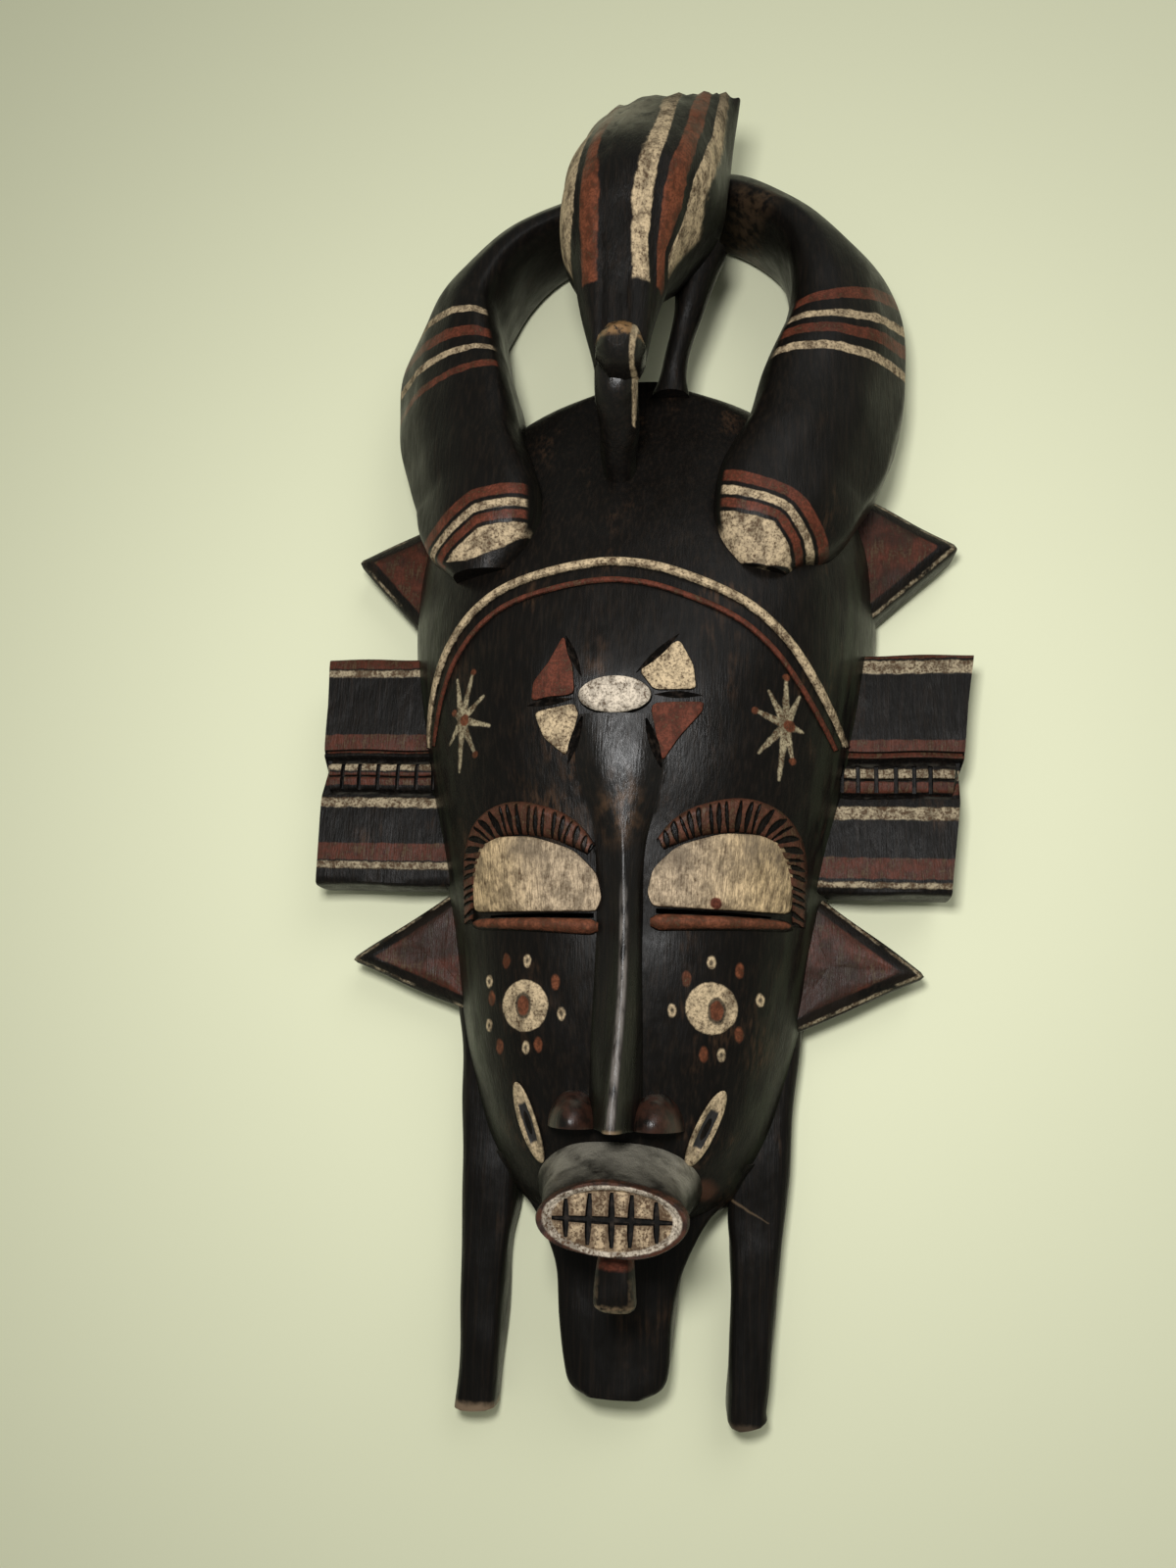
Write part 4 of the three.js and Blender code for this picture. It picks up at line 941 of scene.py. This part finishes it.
def head_finish():
    """Stained wood with the painted stars on the forehead and the discs and dots on the cheeks."""
    f = Finish("stained_head")
    wood = f.stain(0.65, 1.0, (1, 7, 1))
    patch = f.times(f.disc(f.flat_spot(1.5), FOREHEAD_RUB, 4.0, 1.6, 3.0), f.clouds(0.4, 0.6, 2.4, (1, 3, 1)))
    wood = f.mix(f.times(patch, 0.6), wood, RUBBED_WOOD)
    spot = f.flat_spot()
    wood = f.mix(f.times(f.disc(f.flat_spot(1.0), CHIN_SPOT, 3.0, 1.0, 1.5), 0.8), wood, LIP)
    arms = [f.dash(spot, middle, tip, STAR_ARM) for middle, tips in STARS for tip in tips]
    cream = f.largest(*[f.disc(spot, middle, radius) for middle, radius, _ in CHEEK_DISCS],
                      *[f.disc(spot, dot, DOT_RADIUS, 1.5) for dot in CREAM_DOTS])
    colour = f.paint(f.paint(wood, f.largest(*arms), WORN_CREAM, 0.46), cream, CREAM, 0.43)
    dark = f.largest(*[f.disc(spot, dot, DOT_RADIUS * 0.38, 1.7) for dot in CREAM_DOTS],
                     *[f.disc(spot, red_middle, 2.6, 1.5) for _, _, red_middle in CHEEK_DISCS])
    colour = f.mix(f.times(dark, 0.8), colour, BLACK_STAIN)
    red = f.largest(*[f.disc(spot, dot, DOT_RADIUS * 1.05, 1.7) for dot in RED_DOTS],
                    *[f.disc(spot, red_middle, 1.9, 1.5) for _, _, red_middle in CHEEK_DISCS],
                    *[f.disc(spot, tip, 1.0) for middle, tips in STARS for tip in tips[1::3]],
                    *[f.disc(spot, [middle[0] + 1, middle[1]], 1.7) for middle, _ in STARS])
    colour = f.paint(colour, red, RUST, 0.4, shift=6.0)
    return f.close(colour, 0.33, 0.25, chalk=cream)


def painted(name, paint, wear=0.43, streaky=0.0, gloss=0.42, bump=0.5):
    """A raised piece painted all over its top; its steep edges keep the stain."""
    f = Finish(name)
    top = f.ease(f.ragged(f.facing[2], 0.14, 1.6), 0.3, 0.5)
    colour = f.paint(f.stain(0.4, 0.3), top, paint, wear, streaky)
    return f.close(colour, gloss, bump, chalk=f.times(top, 0.9))


def lid_finish():
    """Cream lids with fine upright streaks: grey and dirty inwards, yellower outwards, one small red spot."""
    f = Finish("cream_lids")
    top = f.ease(f.ragged(f.facing[2], 0.1, 1.6), 0.2, 0.4)
    outward = f.ease(f.maths("ABSOLUTE", f.x), 16, 44)
    under = f.mix(0.5, f.stain(), RUBBED_WOOD)
    pale = f.paint(under, top, LID_PALE, 0.43, 0.5)
    yellow = f.paint(under, top, LID_YELLOW, 0.41, 0.8)
    colour = f.mix(outward, pale, yellow)
    streaks = f.clouds(0.53, 0.4, 0.42, (1, 9, 1), 5.0, 0.7, 15.0)
    colour = f.mix(f.times(streaks, top, 0.6), colour, LID_STREAK)
    grime = f.times(f.clouds(0.4, 0.65, 9.0, (1, 1.5, 1), shift=21.0), f.ease(f.y, -58, -42), 0.6)
    colour = f.mix(grime, colour, LID_GRIME)
    colour = f.paint(colour, f.disc(f.flat_spot(), LID_SPOT, 1.7), RED, 0.35)
    return f.close(colour, 0.45, 0.8, (1, 7, 1), f.times(top, 0.8))


def brow_finish():
    """Red-brown brows: the gouges keep the dark stain."""
    f = Finish("notched_brows")
    top = f.times(f.ease(f.facing[2], 0.15, 0.45), f.ease(f.measure("notch"), 0.5, 0.2))
    colour = f.paint(f.stain(0.4, 0.2), top, BROW_RED, 0.45, 0.4)
    return f.close(colour, 0.36, 0.4, chalk=f.times(top, 0.5))


def nose_finish():
    """The nose: near-black, its thin ridge rubbed grey with a painted highlight along it, brown patches at
    its root and tan at the tip.
    """
    f = Finish("rubbed_nose")
    wood = f.mix(f.ease(f.ragged(f.y, 6.0, 6.0), -52, -32), f.stain(0.3, 0.4), f.stain(0.65, 1.0, (1, 7, 1)))
    # Painted highlight: a thin grey line down the lower ridge, partly wear and partly the shine a light
    # leaves on the ridge's flat top.
    rub = f.times(f.ease(f.measure("ridge"), 1.6, 0.6), f.ease(f.y, -50, -68),
                  f.clouds(0.34, 0.6, 2.0, (1, 5, 1), shift=2.0), 0.6)
    colour = f.mix(rub, wood, RIDGE_WEAR_AND_HIGHLIGHT)
    root = f.disc(f.flat_spot(1.2), NOSE_RUB, 5.0, 1.6, 4.0)
    colour = f.mix(f.times(root, f.clouds(0.36, 0.66, 3.0, (1, 2, 1)), 0.6), colour, NOSE_BROWN)
    tip = f.times(f.ease(f.ragged(f.y, 0.6), -122.2, -123.2), f.ease(f.z, 60, 64), 0.8)
    return f.close(f.mix(tip, colour, TAN), 0.3, 0.3, shine=0.26)


def nostril_finish():
    """Brown clouds over dark stain."""
    f = Finish("brown_nostrils")
    colour = f.mix(f.clouds(0.3, 0.7, 4.0), f.stain(0.3, 0.2), NOSTRIL_BROWN)
    return f.close(colour, 0.3, 0.25, shine=0.25)


def muzzle_finish():
    """Stained spout, dusty above; a brown lip, a pale rim and dirty teeth, by the ovals round the mouth."""
    f = Finish("muzzle_and_teeth")
    wood = f.stain(0.4, 0.3)
    dusty = f.times(f.ease(f.facing[1], 0.0, 0.6), f.ease(f.z, 68, 44), f.clouds(0.2, 0.6, 8.0, shift=1.0),
                    0.8)
    wood = f.mix(dusty, wood, MUZZLE_DUST)
    out = f.oval(f.flat_spot(0.3), (MOUTH_X, MOUTH_Y), MOUTH_HALF_WIDTH, MOUTH_HALF_HEIGHT)
    front = f.ease(f.z, MOUTH_Z - 4, MOUTH_Z - 2)
    flat = f.times(front, f.ease(f.facing[2], 0.4, 0.7))
    colour = f.mix(front, wood, f.mix(f.clouds(0.4, 0.6, 3.0, shift=8.0), LIP, DARK_LIP))
    teeth = f.times(flat, f.ease(out, 0.82, 0.78))
    colour = f.mix(teeth, colour, TOOTH_BED)
    colour = f.paint(colour, teeth, TOOTH, 0.48)
    # Darker brown beside each upright gap between the teeth and along the gap between the two rows.
    upright = [[gap - 1.5, gap + 1.5] for gap in TOOTH_GAP_PLACES]
    gaps = f.largest(f.bands(f.ragged(f.x, 0.5), upright, 0.7),
                     f.bands(f.ragged(f.y, 0.5), [[MOUTH_Y - 1.7, MOUTH_Y + 1.5]], 0.7))
    colour = f.mix(f.times(gaps, teeth, 0.7), colour, TOOTH_GAP_BROWN)
    rim = f.times(front, f.bands(out, [[0.79, 0.9]], 0.02))
    colour = f.paint(colour, rim, MOUTH_RIM, 0.45, shift=5.0)
    return f.close(colour, 0.36, 0.8, chalk=f.times(flat, f.ease(out, 0.92, 0.88), 0.9))


def tongue_finish():
    """Red under the mouth, black in the middle, with worn tan edges at its end."""
    f = Finish("tongue")
    colour = f.paint(f.stain(0.5, 0.2), f.ease(f.ragged(f.y, 0.6), -159.5, -158.0), RED, 0.4)
    edge = f.largest(f.ease(f.ragged(f.y, 0.8), -167.6, -168.8),
                     f.times(f.ease(f.facing[2], 0.93, 0.8), 0.3))
    worn = f.times(edge, f.ease(f.y, -160, -163), f.clouds(0.36, 0.56, 2.0, shift=3.0), 0.75)
    return f.close(f.mix(worn, colour, TAN), 0.38, 0.3)


def scar_finish():
    """Cheek leaves: a cream border round a dark scooped middle."""
    f = Finish("cheek_leaves")
    colour = f.paint(f.stain(), f.ease(f.facing[2], 0.2, 0.4), CREAM, 0.42)
    colour = f.mix(f.ease(f.ragged(f.measure("leaf"), 0.05), 0.52, 0.44), colour, LEAF_GREY)
    return f.close(colour, 0.42, 0.5)


def horn_finish(name, side):
    """Stained horn with painted bands across it, and bands that follow the outline of its cream end."""
    f = Finish(name)
    red_spans, cream_spans = SPANS[name]
    along = f.ragged(f.measure("horn_along"), 0.6, 3.0)
    outside = f.ragged(f.measure("horn_end"), 0.4, 2.5)
    near_end = f.ease(f.y, 84, 80)
    shown = f.times(f.ease(f.facing[2], -0.05, 0.2), f.ease(f.times(f.facing[0], -side), 0.85, 0.6))
    above = near_end
    if side < 0:
        above = f.times(near_end, f.ease(f.maths("MULTIPLY_ADD", f.x, -0.31, f.y), 61.6, 62.8))
    red = f.largest(f.bands(along, red_spans),
                    f.times(above, f.bands(outside, [[1.3, 3.9], [9.0, 12.6]])))
    band, face = (f.bands(outside, [span]) for span in ([5.0, 7.6], [-30, 0.1]))
    end_cream = f.largest(f.times(above, band), face)
    tip = f.largest(shown, f.times(f.ease(f.y, 55, 50), f.ease(f.z, 46, 49)))
    cream = f.largest(f.times(f.bands(along, cream_spans), shown), f.times(near_end, end_cream, tip))
    wood = f.stain(0.4, 0.2)
    if side > 0:
        rub = f.times(f.disc(f.flat_spot(2.0), HORN_RUB, 9.0, 0.7, 5.0), f.clouds(0.36, 0.6, 3.0), 0.7)
        wood = f.mix(rub, wood, HORN_BROWN)
    colour = f.paint(wood, f.times(red, shown), RED, 0.43)
    colour = f.paint(colour, cream, HORN_CREAM, 0.45, 0.1, 3.0)
    return f.close(colour, 0.35, 0.22, chalk=f.times(cream, 0.9))


def bird_finish():
    """Stripes down the bird's back by their place among the stripe edges; collar and underside stay dark."""
    f = Finish("striped_bird")
    place = f.ragged(f.measure("feather"), 0.11, 2.5)
    front = f.times(f.ease(f.measure("bird_front"), 0.02, 0.14), f.ease(f.ragged(f.y, 0.7), 120.6, 121.8))
    cream = f.times(f.bands(place, [[0.05, 0.97], [4.03, 4.97], [8.0, 9.0]], 0.06), front)
    red = f.times(f.bands(place, [[2.02, 2.98], [6.02, 6.98]], 0.06), front)
    colour = f.paint(f.stain(0.4, 0.5), red, BIRD_RED, 0.42, 0.2)
    colour = f.paint(colour, f.times(cream, f.ease(f.y, 206, 178, 0.35, 1.0)), CREAM, 0.45, 0.3, 3.0)
    # Greyish olive clouds towards the tail on its left side: partly dust and partly a painted dull highlight.
    dusty = f.times(f.ease(f.y, 164, 192), f.ease(f.x, 14, -6),
                    f.clouds(0.3, 0.52, 4.0, (1, 3, 1), shift=2.0), 0.85)
    return f.close(f.mix(dusty, colour, TAIL_DUST_AND_SHEEN), 0.4, 0.5, chalk=f.times(cream, 0.9))


def bird_head_finish():
    """Dark neck and beak, ochre rubbed through on the upper facets of the head, and a cream line."""
    f = Finish("rubbed_bird_head")
    upper = f.times(f.ease(f.y, 97.5, 99.5), f.ease(f.z, 83, 86), f.ease(f.y, 107, 104.5),
                    f.clouds(0.38, 0.52, 2.0, shift=4.0))
    colour = f.mix(f.times(upper, 0.85), f.stain(0.5, 0.3), OCHRE)
    colour = f.paint(colour, f.dash(f.flat_spot(0.3), *BEAK_LINE, 1.9), CREAM, 0.42)
    return f.close(colour, 0.28, 0.25, shine=0.3)


def ear_finish(name):
    """Bands across an ear by height, with upright grain showing in the wide dark lands."""
    f = Finish(name)
    grain = f.times(f.clouds(0.5, 0.75, 0.8, (1, 16, 1), 5.0, 0.6), 0.4)
    wood = f.mix(grain, f.stain(0.4, 0.2), EAR_GREY)
    red_spans, cream_spans = SPANS[name]
    height = f.ragged(f.y, 0.7, 3.2)
    front = f.times(f.ease(f.facing[2], 0.5, 0.75), f.ease(f.z, 17, 19))
    cream = f.times(f.bands(height, cream_spans, 0.35), front)
    colour = f.paint(wood, f.times(f.bands(height, red_spans), front), DULL_RED, 0.46, 0.5)
    colour = f.paint(colour, cream, BAND_CREAM, 0.48, 0.1, 3.0)
    return f.close(colour, 0.4, 0.6, (1, 9, 1), f.times(cream, 0.9))


def point_finish():
    """Side points: a dark red field inside a stained border, with a thin worn cream line near the rim."""
    f = Finish("side_points")
    inset = f.ragged(f.measure("inset"), 0.4, 2.5)
    field = f.times(f.ease(inset, 4.0, 4.8), f.ease(f.facing[2], 0.2, 0.45))
    colour = f.paint(f.stain(0.3, 0.3), field, DULL_RED, 0.46, 0.5)
    dark = f.clouds(0.42, 0.6, 16.0, (1.5, 1, 1), 3.0, 0.5, 31.0)
    colour = f.mix(f.times(dark, 0.7), colour, DARK_STAIN)
    line = f.times(f.bands(inset, [[0.7, 1.6]]), f.clouds(0.44, 0.56, 9.0, shift=2.0))
    return f.close(f.paint(colour, line, BAND_CREAM, 0.48, shift=3.0), 0.38, 0.45)


def leg_finish():
    """Legs and chin plate: long grain, brown where the edges are rubbed, bare wood at the left leg's end."""
    f = Finish("stained_legs")
    colour = f.stain(0.55, 0.3, (1, 22, 1))
    end = f.times(f.ease(f.ragged(f.y, 1.6, 3.0), -205.8, -208.0), f.ease(f.x, -30, -36, 0.25, 0.85))
    colour = f.mix(end, colour, END_WOOD)
    scratch = f.dash(f.flat_spot(0.5), *LEG_SCRATCH, 0.8)
    colour = f.mix(f.times(scratch, 0.4), colour, TAN)
    return f.close(colour, 0.36, 0.35, (1, 20, 1))


def hollow_finish():
    """Inside of the hollow: gouged wood with a thin brown stain."""
    f = Finish("gouged_hollow")
    colour = f.mix(f.clouds(0.3, 0.7, 1.0, (1, 16, 1), 5.0, 0.6), HOLLOW_BROWN, BARE_WOOD)
    colour = f.mix(f.times(f.clouds(0.45, 0.7, 14.0, shift=3.0), 0.6), colour, DARK_STAIN)
    return f.close(colour, 0.6, 0.9)


def cut_finish():
    """The cuts' walls: the stain with a little rubbed wood."""
    f = Finish("open_cuts")
    return f.close(f.mix(f.clouds(0.45, 0.75, 2.0), BLACK_STAIN, CUT_BROWN), 0.4, 0.3)


def solid_object(name, part, material):
    """A closed surface as an object in the scene, still in millimetres."""
    vertices, triangles = part
    mesh = bpy.data.meshes.new(name)
    mesh.from_pydata(vertices.tolist(), [], triangles.tolist())
    mesh.materials.append(material)
    return in_scene(name, mesh)


def carve(base, added, removed):
    """Joins each added surface to the base and cuts each removed one out of it; returns the new mesh."""
    for operation, group in (("UNION", added), ("DIFFERENCE", removed)):
        for other in group:
            step = base.modifiers.new(other.name, "BOOLEAN")
            step.operation = operation
            step.object = other
            step.solver = "MANIFOLD"
            step.material_mode = "TRANSFER"
    bpy.context.view_layer.update()
    mesh = bpy.data.meshes.new_from_object(base.evaluated_get(bpy.context.evaluated_depsgraph_get()))
    for used in [base, *added, *removed]:
        old = used.data
        bpy.data.objects.remove(used)
        bpy.data.meshes.remove(old)
    return mesh


def outline_distance(points, outline):
    """Signed distance from points to a closed outline: below 0 inside it."""
    corners = np.array(outline, float)
    ahead = np.roll(corners, -1, 0)
    run = ahead - corners
    away = points[:, None] - corners
    share = np.clip((away * run).sum(-1) / (run * run).sum(-1), 0, 1)
    reach = np.linalg.norm(away - share[..., None] * run, axis=-1).min(1)
    above = corners[:, 1] > points[:, None, 1]
    crosses = above != (ahead[:, 1] > points[:, None, 1])
    rise = np.where(run[:, 1] == 0, 1e-9, run[:, 1])
    meet = corners[:, 0] + (points[:, None, 1] - corners[:, 1]) * run[:, 0] / rise
    inside = (crosses & (points[:, None, 0] < meet)).sum(1) % 2 == 1
    return np.where(inside, -reach, reach)


def nearest_on_curve(points, places, count=500):
    """For each point, its share of a curve's length and its distance across it, from the nearest sample."""
    share = np.linspace(0, 1, count)
    curve, normals, length = along_curve(places, share)
    nearest = ((points[:, None] - curve) ** 2).sum(-1).argmin(1)
    across = ((points - curve[nearest]) * normals[nearest]).sum(1)
    return share[nearest], across, length


def horn_measures(xy, upper):
    """Millimetres along each horn with the slant of its bands taken out, and the distance outside its end."""
    along, outside = np.full(len(xy), -50.0), np.full(len(xy), 50.0)
    for side, places, slant in ((-1, LEFT_HORN, 0.0), (1, RIGHT_HORN, -0.3)):
        here = np.flatnonzero(upper & (xy[:, 0] * side > 0))
        share, across, length = nearest_on_curve(xy[here], places)
        along[here] = share * length - slant * across
        outside[here] = outline_distance(xy[here], HORN_ENDS[side])
    return along, outside


def measures(points):
    """Values that the materials read, worked out for every vertex from its place in millimetres."""
    x, y, z = points.T
    xy = points[:, :2]
    along, outside = horn_measures(xy, (y > 30) & (z > 1))
    hand = np.where(x > 0, 1, -1)[:, None]
    as_right = xy * np.hstack([hand, hand ** 2]) - hand * EYE_SHIFT
    share, across, _ = nearest_on_curve(as_right, BROW_PLACES, 900)
    leaf = np.full(len(points), 9.0)
    for x0, y0, x1, y1 in SCARS:
        run = np.array([x1 - x0, y1 - y0])
        length = np.linalg.norm(run)
        away = xy - [x0, y0]
        gone = np.clip(away @ run / length ** 2, 0.01, 0.99)
        aside = np.abs(away @ np.array([-run[1], run[0]])) / length
        middle = np.abs(gone - 0.5) * 2
        leaf = np.minimum(leaf, np.maximum(aside / (SCAR_WIDTH * np.sqrt(gone * (1 - gone))), middle))
    inset = np.max([-outline_distance(xy, outline) for outline in SIDE_POINTS], axis=0)
    middle_z = (BIRD_FRONT(y) + BIRD_BACK(y)) / 2
    return {
        "horn_along": along,
        "horn_end": outside,
        "notch": brow_notches(share, across / BROW_WIDTH(share) * 2),
        "leaf": leaf,
        "inset": inset,
        "feather": feather_place(x, y),
        "bird_front": (z - middle_z) / np.maximum(BIRD_FRONT(y) - middle_z, 1),
        "ridge": np.abs(x - NOSE_X(y)),
    }


def carved_mask():
    """All the carving joined into one solid, cut open, and given the measures that its finishes read."""
    legs, points, bird_head, cuts = leg_finish(), point_finish(), bird_head_finish(), cut_finish()
    outer_arch, inner_arch = arches()
    base = solid_object("carving", head_body(), head_finish())
    right_ear, left_ear = (ear(top, foot) for top, foot in EAR_RIMS)
    added = [
        ("outer_arch", outer_arch, painted("cream_moulding", CREAM, 0.45, 0.1)),
        ("inner_arch", inner_arch, painted("red_moulding", RED, 0.44, 0.2)),
        ("boss", boss(), painted("pale_boss", PALE_CREAM, 0.44)),
        ("cream_petals", petals(CREAM_PETALS), painted("cream_petals", CREAM, 0.45)),
        ("red_petals", petals(RED_PETALS), painted("red_petals", RED, 0.42)),
        ("brows", brow(), brow_finish()),
        ("lids", lids(), lid_finish()),
        ("lower_bars", lower_bars(), painted("red_bars", BAR_RED, 0.43, 0.3)),
        ("nose", nose(), nose_finish()),
        ("nostrils", nostrils(), nostril_finish()),
        ("muzzle", muzzle(), muzzle_finish()),
        ("tongue", tongue(), tongue_finish()),
        ("scars", scars(), scar_finish()),
        ("right_ear", right_ear, ear_finish("right_ear")),
        ("left_ear", mirrored(left_ear), ear_finish("left_ear")),
        *[(f"point_{k}", side_point(outline), points) for k, outline in enumerate(SIDE_POINTS)],
        ("left_leg", bar_down(LEFT_LEG, LEG_BACK_Z, LEG_FRONT_Z, LEG_STEPS), legs),
        ("right_leg", bar_down(RIGHT_LEG, LEG_BACK_Z, LEG_FRONT_Z, LEG_STEPS), legs),
        ("chin_plate", bar_down(CHIN_PLATE, CHIN_PLATE_BACK_Z, CHIN_PLATE_FRONT_Z, CHIN_PLATE_STEPS), legs),
        ("right_horn", horn(RIGHT_HORN, 1, lambda t: 1.0), horn_finish("right_horn", 1)),
        ("left_horn", horn(LEFT_HORN, -1, LEFT_HORN_BULK), horn_finish("left_horn", -1)),
        ("bird_body", bird_body(), bird_finish()),
        ("beak", beak(), bird_head),
        ("bird_head", head_knob(), bird_head),
        *[(f"bird_{side}_leg", bird_leg(rows), legs) for side, rows in BIRD_LEGS.items()],
    ]
    upright_gaps, long_gap = tooth_cuts()
    chips = joined([chip_cut(start, end, CUT_WIDTH, CUT_DEPTH) for start, end in CHIP_CUTS])
    right_gaps, left_gaps = (ear_cuts(foot) for _, foot in EAR_RIMS)
    removed = [("slits", slits()), ("chip_cuts", chips), ("upright_gaps", upright_gaps),
               ("long_gap", long_gap), ("right_ear_gaps", right_gaps), ("left_ear_gaps", mirrored(left_gaps))]
    removed = [("hollow", hollow(), hollow_finish())] + [(*row, cuts) for row in removed]
    mesh = carve(base, *([solid_object(*row) for row in rows] for rows in (added, removed)))
    places = np.empty(len(mesh.vertices) * 3)
    mesh.vertices.foreach_get("co", places)
    places = places.reshape(-1, 3)
    for name, values in measures(places).items():
        mesh.attributes.new(name, "FLOAT", "POINT").data.foreach_set("value", values.astype(np.float32))
    mesh.vertices.foreach_set("co", ((places - MIDDLE) / 1000).ravel())
    mesh.polygons.foreach_set("use_smooth", np.ones(len(mesh.polygons), bool))
    mesh.set_sharp_from_angle(angle=math.radians(38))
    mesh.update()
    return in_scene("kpelie_mask", mesh)


# The surroundings, in metres, and each light's name, place and width in metres, and power in watts
FLOOR_REACH, STUDIO_STRENGTH = 3.0, 0.25
LIGHTS = [["near", (0.0, -0.015, 0.43), 0.07, 1.5], ["key", (0.6, 0.8, 1.1), 0.9, 5]]


def floor():
    """A wide pale sheet under the mask."""
    mesh = bpy.data.meshes.new("floor")
    corners = [(x * FLOOR_REACH, y * FLOOR_REACH, 0) for x, y in ((-1, -1), (1, -1), (1, 1), (-1, 1))]
    mesh.from_pydata(corners, [], [(0, 1, 2, 3)])
    material = bpy.data.materials.new("pale_floor")
    material.use_nodes = True
    shader = material.node_tree.nodes["Principled BSDF"]
    shader.inputs["Base Color"].default_value = FLOOR_PALE
    shader.inputs["Roughness"].default_value = 0.8
    mesh.materials.append(material)
    return in_scene("floor", mesh)


def soft_light(name, place, size, power):
    """A square soft light at a place, facing the origin."""
    data = bpy.data.lights.new(name, "AREA")
    data.size = size
    data.energy = power
    light = in_scene(name, data)
    light.location = place
    light.rotation_euler = Vector(place).to_track_quat("Z", "Y").to_euler()


def studio():
    """Even pale surroundings, a small light beside the camera, and a large soft one from the upper right."""
    world = bpy.data.worlds.new("studio")
    world.use_nodes = True
    world.node_tree.nodes["Background"].inputs["Color"].default_value = STUDIO_PALE
    world.node_tree.nodes["Background"].inputs["Strength"].default_value = STUDIO_STRENGTH
    bpy.context.scene.world = world
    for light in LIGHTS:
        soft_light(*light)
    bpy.context.scene.view_settings.view_transform = "Standard"


photo_camera()
mask = carved_mask()
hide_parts("carved_mask")
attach(mask, "root")
floor()
studio()
